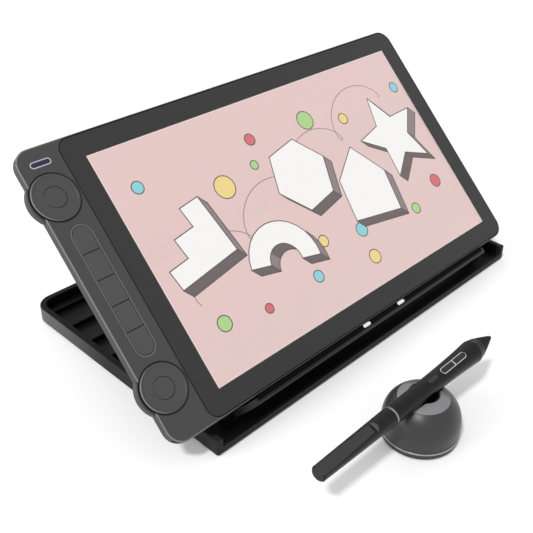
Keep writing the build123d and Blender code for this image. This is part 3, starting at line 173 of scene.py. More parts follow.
# %% Plastics of the pen and the holder
pen_plastic = moulded_plastic("pen_soft_touch_coat", "#0b0b0c", 0.3, grain_mm=0.4,
                              grain_depth_mm=0.008, edge_mm=0.2, specular=0.24)
tail_plastic = moulded_plastic("tail_soft_touch_coat", "#0d0d0e", 0.32, grain_mm=0.4,
                               grain_depth_mm=0.008, edge_mm=0.2, specular=0.26)
nose_plastic = moulded_plastic("nose_matte_abs", "#0c0c0d", 0.6, grain_mm=0.4,
                               grain_depth_mm=0.01, edge_mm=0.2, specular=0.12)
pen_key_plastic = moulded_plastic("pen_key_gloss_abs", "#0c0c0c", 0.22, grain_mm=0.6,
                                  grain_depth_mm=0.002, edge_mm=0.15)
small_key_plastic = moulded_plastic("small_key_satin_abs", "#1c1c1d", 0.35, grain_mm=0.4,
                                    grain_depth_mm=0.004, edge_mm=0.15)
nib_plastic = moulded_plastic("nib_acetal", "#141415", 0.5, grain_mm=0.4,
                              grain_depth_mm=0.004, edge_mm=0.1, specular=0.2)
holder_plastic = moulded_plastic("holder_satin_abs", "#2c2c2d", 0.38, grain_mm=0.6,
                                 grain_depth_mm=0.01, edge_mm=0.3)
print("ABS finishes:", sum(m.name.endswith("abs") for m in bpy.data.materials))

# %% [markdown]
# ## Rubber
# Feet, pads and the strip on the ledge are silicone rubber. It is duller than plastic and
# shows a soft bloom of dust in its pores, so it gets a higher roughness, a coarser grain
# and a little sheen. The strip in the ledge lies in shadow and stays without sheen.

# %% Rubber


def soft_rubber(name, colour, roughness=0.75, grain_mm=0.8):
    """Dull rubber with a fine pore texture."""
    material = moulded_plastic(name, colour, roughness, grain_mm, grain_depth_mm=0.04,
                               edge_mm=0.3, specular=0.25, variation=0.1)
    shader = material.node_tree.nodes["Principled BSDF"]
    shader.inputs["Sheen Weight"].default_value = 0.08
    shader.inputs["Sheen Roughness"].default_value = 0.5
    return material


black_rubber = soft_rubber("feet_black_silicone", "#161617")
ledge_rubber = moulded_plastic("ledge_black_silicone", "#040404", 0.7, grain_mm=0.8,
                               grain_depth_mm=0.04, edge_mm=0.3, specular=0.06)
bumper_rubber = soft_rubber("bumper_white_silicone", "#e6e6e4", 0.55)
saddle_rubber = soft_rubber("saddle_grey_silicone", "#7e7e80", 0.42, grain_mm=0.6)
print("rubbers:", sum(m.name.endswith("silicone") for m in bpy.data.materials))

# %% [markdown]
# ## Metals
# The pen's ring and the frame round its keys are chrome-plated, the ring satin and the
# frame bright. The ring under the holder is turned aluminium, and the pins are steel. Metals
# have no body colour of their own, so their colour goes to the reflection. Turned and drawn
# metal carries fine parallel lines, made here by a noise stretched far along one direction.

# %% Metals
METAL_EDGE_MM = 0.12


def worked_metal(name, colour, roughness, line_mm=0.25, along=(1.0, 1.0, 1.0), depth_mm=0.004):
    """Metal with fine machining lines that run along the small-scale direction."""
    material, tree, shader = new_material(name, {"Metallic": 1.0})
    place = add_node(tree, "ShaderNodeTexCoord").outputs["Object"]
    stretched = add_node(tree, "ShaderNodeMapping", {"Scale": along}, {"Vector": place})
    lines = add_node(tree, "ShaderNodeTexNoise", {"Scale": 1000 / line_mm, "Detail": 2.0},
                     {"Vector": stretched.outputs[0]})
    tone = add_node(tree, "ShaderNodeMix",
                    {"A": linear(colour), "B": [c * 0.9 for c in linear(colour)[:3]] + [1.0]},
                    {"Factor": lines.outputs["Fac"]}, data_type="RGBA")
    gloss = add_node(tree, "ShaderNodeMapRange",
                     {"To Min": roughness * 0.8, "To Max": roughness * 1.2},
                     {"Value": lines.outputs["Fac"]})
    edge = add_node(tree, "ShaderNodeBevel", {"Radius": METAL_EDGE_MM * MM}, samples=4)
    bump = add_node(tree, "ShaderNodeBump", {"Strength": 0.3, "Distance": depth_mm * MM},
                    {"Height": lines.outputs["Fac"], "Normal": edge.outputs["Normal"]})
    tree.links.new(tone.outputs["Result"], shader.inputs["Base Color"])
    tree.links.new(gloss.outputs["Result"], shader.inputs["Roughness"])
    tree.links.new(bump.outputs["Normal"], shader.inputs["Normal"])
    return material


bright_chrome = worked_metal("pen_bright_chrome", "#d9dade", 0.12, line_mm=1.0,
                             depth_mm=0.001)
satin_chrome = worked_metal("pen_satin_chrome", "#8e8f93", 0.3, line_mm=0.6, depth_mm=0.002)
turned_ring = worked_metal("holder_turned_aluminium", "#a9aaad", 0.3, line_mm=0.3,
                           along=(0.05, 0.05, 1.0))
ground_steel = worked_metal("ground_steel", "#a4a6a9", 0.3, line_mm=0.3,
                            along=(0.05, 1.0, 1.0))
screw_steel = worked_metal("screw_black_zinc", "#2b2c2e", 0.35, line_mm=0.4)
drawn_steel = worked_metal("socket_drawn_steel", "#8f9194", 0.35)
shield_metal = worked_metal("shield_rolled_aluminium", "#c3c5c8", 0.4, line_mm=0.5,
                            along=(0.03, 1.0, 1.0))
coil_copper = worked_metal("coil_enamelled_copper", "#b4673c", 0.35, line_mm=0.2,
                           along=(1.0, 0.1, 0.1))
print("ring under the holder:", turned_ring.name)

# %% [markdown]
# ## Powder-coated leg
# The prop leg is stamped from sheet steel and powder-coated black. The powder melts into a
# fine orange-peel skin, so its bump is broader and softer than a mould texture, under an
# even semi-gloss.

# %% Powder coat
leg_coat = moulded_plastic("leg_powder_coat", "#121213", 0.42, grain_mm=1.4,
                           grain_depth_mm=0.05, edge_mm=0.5, specular=0.4)
print("leg:", leg_coat.name)

# %% [markdown]
# ## Printed circuit board
# Boards are glass-epoxy with a green solder mask, with a faint weave of the glass cloth
# under it. Two wave patterns crossed at right angles give that weave.

# %% Circuit board
board_green, board_tree, board_shader = new_material("board_green_mask", {"Roughness": 0.35})
board_place = add_node(board_tree, "ShaderNodeTexCoord").outputs["Object"]
thread = {"Scale": 300.0, "Distortion": 0.4}
weave_across = add_node(board_tree, "ShaderNodeTexWave", thread, {"Vector": board_place},
                        bands_direction="X")
weave_along = add_node(board_tree, "ShaderNodeTexWave", thread, {"Vector": board_place},
                       bands_direction="Y")
weave = add_node(board_tree, "ShaderNodeMath", {},
                 {0: weave_across.outputs["Fac"], 1: weave_along.outputs["Fac"]},
                 operation="MULTIPLY")
board_tint = add_node(board_tree, "ShaderNodeMix",
                      {"A": linear("#12432a"), "B": linear("#1a5a38")},
                      {"Factor": weave.outputs[0]}, data_type="RGBA")
board_tree.links.new(board_tint.outputs["Result"], board_shader.inputs["Base Color"])
print("boards:", board_green.name)

# %% [markdown]
# ## Outlines inside a shader
# Several finishes change along an outline: the dark print of the glass ends at the picture,
# seams get painted shadow lines, and chamfers a thin pale line of painted highlight. A shader
# can find such a place by itself: it measures how far a point lies outside a round-cornered
# box. A box no larger than its own corners is a circle. The numbers come from the model.

# %% Distance from an outline


def model_place(tree):
    """Places in the frame of the whole model, in metres."""
    return add_node(tree, "ShaderNodeTexCoord").outputs["Object"]


def from_face_centre(tree):
    """Places on the tablet's own plane, measured from the middle of its face."""
    middle = -FACE_CENTRE.dot(UP_SLOPE)
    return add_node(tree, "ShaderNodeMapping",
                    {"Rotation": (-TILT, 0, 0), "Location": (0, middle, 0)},
                    {"Vector": model_place(tree)}).outputs[0]


def band(tree, place, outline, low_mm, high_mm):
    """One where a place lies between two distances outside an outline, nought elsewhere."""
    centre, half, radius = outline
    shift = (centre[0] * MM, centre[1] * MM, 0)
    straight = ((half[0] - radius) * MM, (half[1] - radius) * MM, 0)
    middle = radius + (low_mm + high_mm) / 2
    moved = add_node(tree, "ShaderNodeVectorMath", {1: shift}, {0: place}, operation="SUBTRACT")
    flat = add_node(tree, "ShaderNodeVectorMath", {1: (1, 1, 0)}, {0: moved.outputs[0]},
                    operation="MULTIPLY")
    size = add_node(tree, "ShaderNodeVectorMath", {}, {0: flat.outputs[0]}, operation="ABSOLUTE")
    corner = add_node(tree, "ShaderNodeVectorMath", {1: straight}, {0: size.outputs[0]},
                      operation="SUBTRACT")
    outside = add_node(tree, "ShaderNodeVectorMath", {1: (0, 0, 0)}, {0: corner.outputs[0]},
                       operation="MAXIMUM")
    reach = add_node(tree, "ShaderNodeVectorMath", {}, {0: outside.outputs[0]},
                     operation="LENGTH")
    return add_node(tree, "ShaderNodeMath",
                    {1: middle * MM, 2: (high_mm - low_mm) / 2 * MM},
                    {0: reach.outputs["Value"]}, operation="COMPARE").outputs[0]


def fade(tree, place, direction, start_mm, end_mm, low=0.0):
    """Rise from a low value to one between two distances along a direction."""
    reach = add_node(tree, "ShaderNodeVectorMath", {1: direction}, {0: place},
                     operation="DOT_PRODUCT")
    return add_node(tree, "ShaderNodeMapRange",
                    {"From Min": start_mm * MM, "From Max": end_mm * MM, "To Min": low},
                    {"Value": reach.outputs["Value"]}).outputs[0]


def lay_over(material, mask, colour, share=None):
    """Lay another colour over a finish wherever the mask is one, in part if a share is given."""
    tree = material.node_tree
    socket = tree.nodes["Principled BSDF"].inputs["Base Color"]
    under = socket.links[0].from_socket
    if share is not None:
        mask = add_node(tree, "ShaderNodeMath", {}, {0: mask, 1: share},
                        operation="MULTIPLY").outputs[0]
    laid = add_node(tree, "ShaderNodeMix", {"B": linear(colour)}, {"Factor": mask, "A": under},
                    data_type="RGBA")
    tree.links.new(laid.outputs["Result"], socket)


# %% [markdown]
# Each outline is written as its centre, its half size and the radius of its corners, in
# millimetres. A mask with one open side ends farther away than any part reaches.

# %% Outlines
FAR_MM = 200.0
REFLECTION_FRAME_MM = 0.7
GLASS_OUTLINE = ((-0.1, 0.0), (161.68, 97.62), 8.5)
FACE_OUTLINE = ((-14.55, 0.0), (177.33, 98.82), 11.0)
KEY_OUTLINE = ((-176.2, 0.0), (6.4, 43.8), 6.4)
DIAL_OUTLINES = [((-179.0, side * 65.0), (15.5, 15.5), 15.5) for side in (-1, 1)]
PICTURE_OUTLINE = ((0.0, 0.0), (PICTURE_WIDTH / 2, PICTURE_HEIGHT / 2), 0.0)
INNER_OUTLINE = ((0.0, 0.0),
                 (PICTURE_WIDTH / 2 - REFLECTION_FRAME_MM, PICTURE_HEIGHT / 2 - REFLECTION_FRAME_MM), 0.0)
BASE_OUTLINE = ((0.0, 0.0), (163.0, 104.0), 14.0)
WELL_OUTLINE = ((-58.0, -178.0), (9.8, 9.8), 9.8)
print("dial outlines:", len(DIAL_OUTLINES))

# %% [markdown]
# ## Painted shadow lines and highlights on the tablet
# On the strip, the gap round each dial and the joint with the glass get narrow painted shadow
# lines. The opening of the key column and the face's outer edge get a thin pale line of painted
# highlight on their chamfer, strongest on the left. The face's own side wall is painted darker,
# as shade. Each dial gets a painted shadow line round it and the same painted highlight on its
# left.

# %% Strip
strip_tree = strip_plastic.node_tree
strip_place = from_face_centre(strip_tree)
# Painted highlight: a pale line round the opening of the key column.
lay_over(strip_plastic, band(strip_tree, strip_place, KEY_OUTLINE, 0.05, 0.85), "#5e5e60")
# Painted highlight on the face's outer chamfer, fading out towards the right.
painted_light_to_left = fade(strip_tree, strip_place, (1, 0, 0), -140, -185, low=0.2)
painted_highlight_rim = band(strip_tree, strip_place, FACE_OUTLINE, -0.95, -0.06)
lay_over(strip_plastic, painted_highlight_rim, "#6d6d6f", share=painted_light_to_left)
# Painted shade: the face's side wall is painted darker.
painted_shade_side_wall = band(strip_tree, strip_place, FACE_OUTLINE, -0.04, FAR_MM)
lay_over(strip_plastic, painted_shade_side_wall, "#28282a")
# Painted shadow lines in the gap round each dial.
for dial_outline in DIAL_OUTLINES:
    lay_over(strip_plastic, band(strip_tree, strip_place, dial_outline, -0.2, 0.9), "#0b0b0c")
# Painted shadow line along the joint with the glass.
lay_over(strip_plastic, band(strip_tree, strip_place, GLASS_OUTLINE, -0.2, 0.45), "#0e0e0f")
print("drawn on:", strip_plastic.name)

# %% Dials
dial_tree = dial_plastic.node_tree
dial_place = from_face_centre(dial_tree)
# Painted highlight on the left of each dial's chamfer, and a painted shadow line round its edge.
painted_light_side = fade(dial_tree, dial_place, (1, 0, 0), -181, -193)
for dial_outline in DIAL_OUTLINES:
    lay_over(dial_plastic, band(dial_tree, dial_place, dial_outline, -0.25, 0.9), "#101011")
    painted_highlight_arc = band(dial_tree, dial_place, dial_outline, -0.95, -0.25)
    lay_over(dial_plastic, painted_highlight_arc, "#727274", share=painted_light_side)
print("drawn on:", dial_plastic.name)

# %% [markdown]
# ## Walls, saddle and facet
# The base's outer walls get a grey painted sheen over the tray's black, strongest at the back.
# The holder's saddle gets painted shade towards the right, and its well is painted near black
# as shade. The long facet on the pen's tail is painted paler than the coat round it, as light
# falling on its upward face; the shader knows the facet by the direction that it faces.

# %% Base walls
base_tree = base_plastic.node_tree
base_place = model_place(base_tree)
# Painted sheen: grey painted on the base's outer walls, fading out towards the front.
painted_sheen_to_back = fade(base_tree, base_place, (0, 1, 0), 10, 112, low=0.1)
painted_sheen_wall = band(base_tree, base_place, BASE_OUTLINE, -0.35, FAR_MM)
lay_over(base_plastic, painted_sheen_wall, "#646466", share=painted_sheen_to_back)
print("drawn on:", base_plastic.name)

# %% Saddle and well
saddle_tree = saddle_rubber.node_tree
# Painted shade: the saddle is painted darker towards the right.
painted_shade_side = fade(saddle_tree, model_place(saddle_tree), (1.0, 0.3, 0.0), -108.4, -101.4)
lay_over(saddle_rubber, painted_shade_side, "#3c3c3d")
# Painted shade: the well in the saddle and the dome is painted near black.
for well_finish in (saddle_rubber, holder_plastic):
    well_tree = well_finish.node_tree
    well = band(well_tree, model_place(well_tree), WELL_OUTLINE, -FAR_MM, 0.0)
    lay_over(well_finish, well, "#080808")
    print("well drawn on:", well_finish.name)

# %% Facet of the pen's tail
FACET_NORMAL = Vector((-0.0413, -0.2754, 0.9604)).normalized()
FACET_SLACK = 0.0015
tail_tree = tail_plastic.node_tree
facing = add_node(tail_tree, "ShaderNodeTexCoord").outputs["Normal"]
agreement = add_node(tail_tree, "ShaderNodeVectorMath", {1: FACET_NORMAL}, {0: facing},
                     operation="DOT_PRODUCT")
painted_light_facet = add_node(tail_tree, "ShaderNodeMath", {1: 1.0, 2: FACET_SLACK},
                    {0: agreement.outputs["Value"]}, operation="COMPARE")
# Painted light: the upward facet is painted paler than the coat round it.
lay_over(tail_plastic, painted_light_facet.outputs[0], "#333334")
print("facet drawn on:", tail_plastic.name)

# %% [markdown]
# ## The cover glass and the lit picture
# The glass is printed dark from behind all round, and clear over the picture. One shader
# does both: a mask on the tablet's plane turns transmission on inside the picture's edge.
# The glass is etched against glare, so its reflections are soft. The panel behind it
# shines by itself, which keeps the picture's colours steady whatever the room's light. A
# pale frame, a fraction of a millimetre wide, runs round the picture's edge: a painted
# reflection of that edge in the thickness of the glass.

# %% Cover glass
cover_glass, glass_tree, glass_shader = new_material(
    "cover_etched_glass", {"Roughness": 0.24, "IOR": 1.5, "Specular IOR Level": 0.3})
glass_place = from_face_centre(glass_tree)
clear_part = band(glass_tree, glass_place, PICTURE_OUTLINE, -FAR_MM, 0.5)
glass_tint = add_node(glass_tree, "ShaderNodeMix",
                      {"A": linear("#2a2a2b"), "B": linear("#ffffff")},
                      {"Factor": clear_part}, data_type="RGBA")
glass_tree.links.new(glass_tint.outputs["Result"], glass_shader.inputs["Base Color"])
glass_tree.links.new(clear_part, glass_shader.inputs["Transmission Weight"])
# Painted shadow line along the glass's edge, where it meets the housing.
glass_seam_shadow = band(glass_tree, glass_place, GLASS_OUTLINE, -0.45, 0.2)
lay_over(cover_glass, glass_seam_shadow, "#0c0c0d")
print("cover:", cover_glass.name)

# %% Panel
lit_panel, panel_tree, panel_shader = new_material(
    "panel_lit_ground", {"Base Color": linear("#050505"), "Roughness": 0.4,
                         "Emission Strength": 1.0})
panel_place = from_face_centre(panel_tree)
shown = band(panel_tree, panel_place, PICTURE_OUTLINE, -FAR_MM, 0.0)
panel_ground = add_node(panel_tree, "ShaderNodeMix",
                        {"A": linear("#1d1b1b"), "B": linear("#dfc2be")},
                        {"Factor": shown}, data_type="RGBA")
# Painted reflection: a pale frame just inside the picture's edge.
painted_reflection_frame = band(panel_tree, panel_place, INNER_OUTLINE, 0.01, REFLECTION_FRAME_MM)
panel_with_reflection = add_node(panel_tree, "ShaderNodeMix", {"B": linear("#ead5d2")},
                       {"Factor": painted_reflection_frame, "A": panel_ground.outputs["Result"]},
                       data_type="RGBA")
panel_tree.links.new(panel_with_reflection.outputs["Result"], panel_shader.inputs["Emission Color"])
print("panel:", lit_panel.name)

# %% [markdown]
# The patches of the picture shine like the panel. The outline round the lit key is a
# diffuser that glows far more faintly.

# %% Patches of light


def lit_colour(name, colour):
    """A patch of the shown picture, which shines like the panel round it."""
    return new_material(name, {"Base Color": linear("#050505"), "Roughness": 0.6,
                               "Emission Color": linear(colour), "Emission Strength": 1.0})[0]


lamp_glow = new_material("ring_lamp_diffuser", {"Base Color": linear("#a3a3b8"),
                                                "Emission Color": linear("#cfcff0"),
                                                "Emission Strength": 0.12})[0]
print("lit key's outline:", lamp_glow.name)

# %% [markdown]
# ## Giving each part its finish
# The table pairs every part of the model with its material. The parts' meshes are left as
# they are; only the material in each object's slots changes.

# %% Finish table
finishes = {
    strip_plastic: ["front_housing"],
    rear_plastic: ["rear_housing"],
    dial_plastic: ["upper_dial", "lower_dial", "upper_dial_button", "lower_dial_button"],
    key_plastic: [f"express_key_{n}" for n in range(1, 6)],
    lit_key_plastic: ["lit_key"],
    lamp_glow: ["light_ring"],
    cover_glass: ["glass_panel"],
    lit_panel: ["lcd_panel"],
    base_plastic: ["stand_base"],
    plate_plastic: ["support_plate"],
    leg_coat: ["prop_leg"],
    black_rubber: ["base_feet", "plate_pads", "leg_foot", "tablet_feet", "holder_foot"],
    ledge_rubber: ["ledge_pad"],
    bumper_rubber: ["ledge_bumpers"],
    ground_steel: ["hinge_pins", "leg_pins", "holder_weight"],
    drawn_steel: ["usb_sockets", "pen_pressure_sensor"],
    shield_metal: ["shield_plate"],
    switch_plastic: ["key_switches", "dial_encoders"],
    guide_plastic: ["light_guide"],
    board_green: ["main_board", "key_board", "sensor_board", "pen_circuit"],
    pen_plastic: ["pen_barrel"],
    small_key_plastic: ["pen_key_small"],
    tail_plastic: ["pen_tail"],
    nose_plastic: ["pen_nose"],
    pen_key_plastic: ["pen_key_front", "pen_key_rear"],
    bright_chrome: ["pen_key_trim"],
    satin_chrome: ["pen_ring"],
    coil_copper: ["pen_coil"],
    nib_plastic: ["pen_nib", "spare_nibs"],
    holder_plastic: ["holder_dome", "holder_base"],
    saddle_rubber: ["holder_saddle"],
    turned_ring: ["holder_ring"],
}
for finish, node_names in finishes.items():
    for node_name in node_names:
        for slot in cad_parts[node_name].material_slots:
            slot.material = finish
unfinished = set(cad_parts) - {n for names in finishes.values() for n in names}
print("parts without a finish:", sorted(unfinished))

# %% [markdown]
# ## The picture on the screen
# A lit screen needs something on it. This one shows a row of white building blocks drawn in
# slanted projection, with grey sides and fine outlines, among small coloured discs and one
# thin line that loops along behind them. Each shape is a flat face pushed out by a few
# hundredths of a millimetre, so all of it sits inside the thickness of the glass, right
# above the panel.

# %% Flat shapes on the panel
LAYER_MM = 0.03
SHEET_MM = 0.018
PANEL_DEPTH_MM = 1.04
LINE_MM = 0.75
SHARP = math.radians(30)


def finish_piece(name, mesh_maker, material, body="tablet", place=ON_TABLET):
    """Turn a finished bmesh into a piece that rides on a body."""
    mesh_maker.transform(place)
    bmesh.ops.recalc_face_normals(mesh_maker, faces=mesh_maker.faces[:])
    mesh = bpy.data.meshes.new(name)
    mesh_maker.to_mesh(mesh)
    mesh_maker.free()
    mesh.materials.append(material)
    piece = bpy.data.objects.new(name, mesh)
    bpy.context.scene.collection.objects.link(piece)
    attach(piece, body)
    return piece


def raise_faces(mesh_maker, faces, height_mm):
    """Push flat faces up into a solid and give back all that was raised."""
    grown = bmesh.ops.extrude_face_region(mesh_maker, geom=faces)["geom"]
    corners = [v for v in grown if isinstance(v, bmesh.types.BMVert)]
    bmesh.ops.translate(mesh_maker, verts=corners, vec=(0, 0, height_mm * MM))
    return grown


def push_out(mesh_maker, layer):
    """Give all faces the thickness of a sheet and set them at their layer's height."""
    raise_faces(mesh_maker, mesh_maker.faces[:], SHEET_MM)
    low = (layer * LAYER_MM - PANEL_DEPTH_MM) * MM
    bmesh.ops.translate(mesh_maker, verts=mesh_maker.verts[:], vec=(0, 0, low))


def add_face(mesh_maker, points):
    """One flat face through points in millimetres."""
    return mesh_maker.faces.new([mesh_maker.verts.new((x * MM, y * MM, 0)) for x, y in points])


def add_line(mesh_maker, start, end, width=LINE_MM):
    """A straight line as a thin flat bar."""
    run = Vector(end) - Vector(start)
    across = Vector((-run.y, run.x)).normalized() * (width / 2)
    reach = run.normalized() * (width / 2)
    first, last = Vector(start) - reach, Vector(end) + reach
    add_face(mesh_maker, [first - across, last - across, last + across, first + across])


def is_corner(points, k):
    """Whether an outline turns sharply at one of its points, unlike along a curve."""
    before = Vector(points[k]) - Vector(points[k - 1])
    after = Vector(points[(k + 1) % len(points)]) - Vector(points[k])
    return before.angle(after) > SHARP


def turned(points, centre, degrees, size):
    """Scale a unit outline, turn it and carry it to its centre."""
    c, s = math.cos(math.radians(degrees)), math.sin(math.radians(degrees))
    return [(centre[0] + size * (x * c - y * s), centre[1] + size * (x * s + y * c))
            for x, y in points]


print("layers are", LAYER_MM, "mm apart")

# %% [markdown]
# The blocks' outlines are drawn once at unit size: stairs, a half ring, a hexagon, a house
# and a star. Each is turned, scaled and set in its place. The side of a block is each edge
# of its outline swept along the slant; level edges get the darker grey, steep ones the
# paler, which is how the eye reads depth.

# %% Outlines of the blocks
stairs = [(-0.5, -0.42), (0.5, -0.42), (0.5, 0.42), (0.17, 0.42), (0.17, 0.14), (-0.17, 0.14),
          (-0.17, -0.14), (-0.5, -0.14)]
half_turn = [math.pi * k / 14 for k in range(15)]
half_ring = ([(0.56 * math.cos(a), 0.56 * math.sin(a) - 0.24) for a in half_turn]
             + [(0.25 * math.cos(a), 0.25 * math.sin(a) - 0.24) for a in reversed(half_turn)])
hexagon = [(0.52 * math.cos(math.pi * k / 3), 0.52 * math.sin(math.pi * k / 3)) for k in range(6)]
house = [(-0.4, -0.45), (0.4, -0.45), (0.4, 0.1), (0.0, 0.5), (-0.4, 0.1)]
star_radii = (0.58, 0.27)
star = [(star_radii[k % 2] * math.sin(math.pi * k / 5),
         star_radii[k % 2] * math.cos(math.pi * k / 5)) for k in range(9, -1, -1)]
blocks = ((stairs, (-112, 6), 9, 52), (half_ring, (-49, -22), -12, 54),
          (hexagon, (0, 16), 12, 54), (house, (52, -10), -9, 60), (star, (106, 14), 8, 62))
print("blocks:", len(blocks))

# %% Blocks
SLANT = (4.6, -6.4)
white_faces, pale_sides, dark_sides, lines, side_lines = (bmesh.new() for _ in range(5))
for outline, centre, degrees, size in blocks:
    points = turned(outline, centre, degrees, size)
    add_face(white_faces, points)
    moved = [(x + SLANT[0], y + SLANT[1]) for x, y in points]
    for k, (a, a_low) in enumerate(zip(points, moved)):
        after = (k + 1) % len(points)
        b, b_low = points[after], moved[after]
        run_x, run_y = b[0] - a[0], b[1] - a[1]
        faces_slant = run_y * SLANT[0] - run_x * SLANT[1] > 0
        add_line(lines, a, b)
        if faces_slant:
            steep = abs(run_y) > abs(run_x)
            add_face(pale_sides if steep else dark_sides, [a, b, b_low, a_low])
            add_line(side_lines, a_low, b_low)
            if is_corner(points, after):
                add_line(side_lines, b, b_low)
            if is_corner(points, k):
                add_line(side_lines, a, a_low)

# %% Layers of the blocks
line_ink = lit_colour("picture_ink", "#4a4040")
layers = (("picture_block_sides", pale_sides, 2, lit_colour("picture_grey", "#85777a")),
          ("picture_block_bases", dark_sides, 2, lit_colour("picture_slate", "#5f5355")),
          ("picture_block_faces", white_faces, 4, lit_colour("picture_white", "#f3f1ef")),
          ("picture_lines", lines, 5, line_ink),
          ("picture_side_lines", side_lines, 3, line_ink))
for name, shapes, layer, finish in layers:
    push_out(shapes, layer)
    finish_piece(name, shapes, finish)
print("layers of the blocks:", len(layers))

# %% [markdown]
# Small discs loosen the drawing, and a looping line ties it together. A disc is a circle
# filled with one face over a slightly larger dark one, which leaves a fine outline.

# %% Discs
discs = {"#a9cf86": [(-120, -50, 5), (30, 52, 7), (86, -46, 4), (-34, 36, 3)],
         "#ecd184": [(-66, 30, 8), (66, 42, 4), (-14, -34, 4), (22, -62, 5)],
         "#86cdd6": [(-34, -54, 4), (24, -40, 5), (136, 50, 4), (-126, 52, 4)],
         "#d2636c": [(-26, 54, 4), (122, -34, 5), (-84, -56, 3)]}
rims = bmesh.new()
for number, (colour, places) in enumerate(discs.items()):
    spots = bmesh.new()
    for x, y, radius in places:
        for target, size in ((spots, radius), (rims, radius + LINE_MM)):
            made = bmesh.ops.create_circle(target, cap_ends=True, segments=40, radius=size * MM)
            bmesh.ops.translate(target, verts=made["verts"], vec=(x * MM, y * MM, 0))
    push_out(spots, 1)
    finish_piece(f"picture_discs_{number + 1}", spots,
                 lit_colour(f"picture_accent_{number + 1}", colour))
push_out(rims, 0)
finish_piece("picture_disc_rims", rims, line_ink)
print("discs:", sum(len(places) for places in discs.values()))

# %% [markdown]
# The looping line follows the path of a point outside the rim of a rolling wheel. The wheel
# rolls along a gentle climb, and the path is made of short straight bars.

# %% Looping line
POINT_RADIUS = 13.0
ROLL_START = (-128.0, -20.0)
ROLL_PER_RADIAN = (9.6, 3.2)
STEP = 0.12
STEPS = 210
LOOP_LINE_MM = 0.6
loops = bmesh.new()
angles = [STEP * k for k in range(STEPS)]
path = [(ROLL_START[0] + ROLL_PER_RADIAN[0] * a - POINT_RADIUS * math.sin(a),
         ROLL_START[1] + ROLL_PER_RADIAN[1] * a - POINT_RADIUS * math.cos(a)) for a in angles]
for a, b in zip(path, path[1:]):
    add_line(loops, a, b, width=LOOP_LINE_MM)
push_out(loops, 0)
finish_piece("picture_loops", loops, lit_colour("picture_line", "#8a6f6c"))

# %% [markdown]
# ## Bumpers
# The two white bumpers on the ledge are pills of silicone with round ends. Each is an
# outline of two half circles, raised from the ledge's strip and rounded over at its top
# edge. They take the place of the model's plainer blocks.

# %% Bumpers
BUMPER_X = 19.5
BUMPER_UP = -100.32
BUMPER_LENGTH = 7.5
BUMPER_WIDTH = 2.4
BUMPER_DEPTH = 0.2
BUMPER_HEIGHT = 1.45
BUMPER_EDGE = 0.35
END_STEPS = 8
bumpers = bmesh.new()
straight_half = (BUMPER_LENGTH - BUMPER_WIDTH) / 2
for middle in (-BUMPER_X, BUMPER_X):
    outline = []
    for end, first in ((1, -90), (-1, 90)):
        for step in range(END_STEPS + 1):
            angle = math.radians(first + step * 180 / END_STEPS)
            outline.append((middle + end * straight_half + BUMPER_WIDTH / 2 * math.cos(angle),
                            BUMPER_UP + BUMPER_WIDTH / 2 * math.sin(angle)))
    add_face(bumpers, outline)
grown = raise_faces(bumpers, bumpers.faces[:], BUMPER_HEIGHT)
top_edges = [e for e in grown if isinstance(e, bmesh.types.BMEdge)]
bmesh.ops.bevel(bumpers, geom=top_edges, offset=BUMPER_EDGE * MM, segments=3, profile=0.5,
                affect="EDGES")
bmesh.ops.translate(bumpers, verts=bumpers.verts[:], vec=(0, 0, -BUMPER_DEPTH * MM))
round_bumpers = finish_piece("round_bumpers", bumpers, bumper_rubber, "plate")
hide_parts("ledge_bumpers")
print("bumpers:", len(round_bumpers.data.polygons), "faces")

# %% [markdown]
# ## The bar between the pen's keys
# The keys' bright frame has a bar across its middle, as high as the keys on both sides, so
# it catches the lamp between them. It is a small block, rounded along its edges. It is
# first raised from the pen's axis, then rolled round it like the keys, and last carried to
# its place along the pen.

# %% Key bar
BAR_SIZE = (0.7, 3.4, 1.2)
BAR_EDGE = 0.12
BAR_RAISED = 6.5
BAR_ROLL = math.radians(16)
BAR_ON_AXIS = Vector((-31.5, -178.0, 36.2))
key_bar = bmesh.new()
bmesh.ops.create_cube(key_bar, size=1.0)
bmesh.ops.scale(key_bar, verts=key_bar.verts[:], vec=[length * MM for length in BAR_SIZE])
bmesh.ops.bevel(key_bar, geom=key_bar.edges[:], offset=BAR_EDGE * MM, segments=2, profile=0.5,
                affect="EDGES")
on_pen = (Matrix.Translation(BAR_ON_AXIS * MM) @ Matrix.Rotation(BAR_ROLL, 4, "X")
          @ Matrix.Translation((0, 0, BAR_RAISED * MM)))
finish_piece("pen_key_bar", key_bar, bright_chrome, "pen", on_pen)
print("key bar at", tuple(round(c, 4) for c in on_pen.translation))

# %% [markdown]
# ## Screws
# The back of the tablet is held by small cap screws. A screw head is a low drum with a
# round socket pressed into it. It starts as a circle that is raised and drawn in a little;
# an inset makes its ring, and the middle is pushed down again.

# %% Screw heads
SCREW_RADIUS = 2.2
SCREW_HEIGHT = 0.5
TOP_SCALE = 0.86
RING_SHARE = 0.42
SOCKET_SHARE = 0.7
BACK_PLANE = -11.95


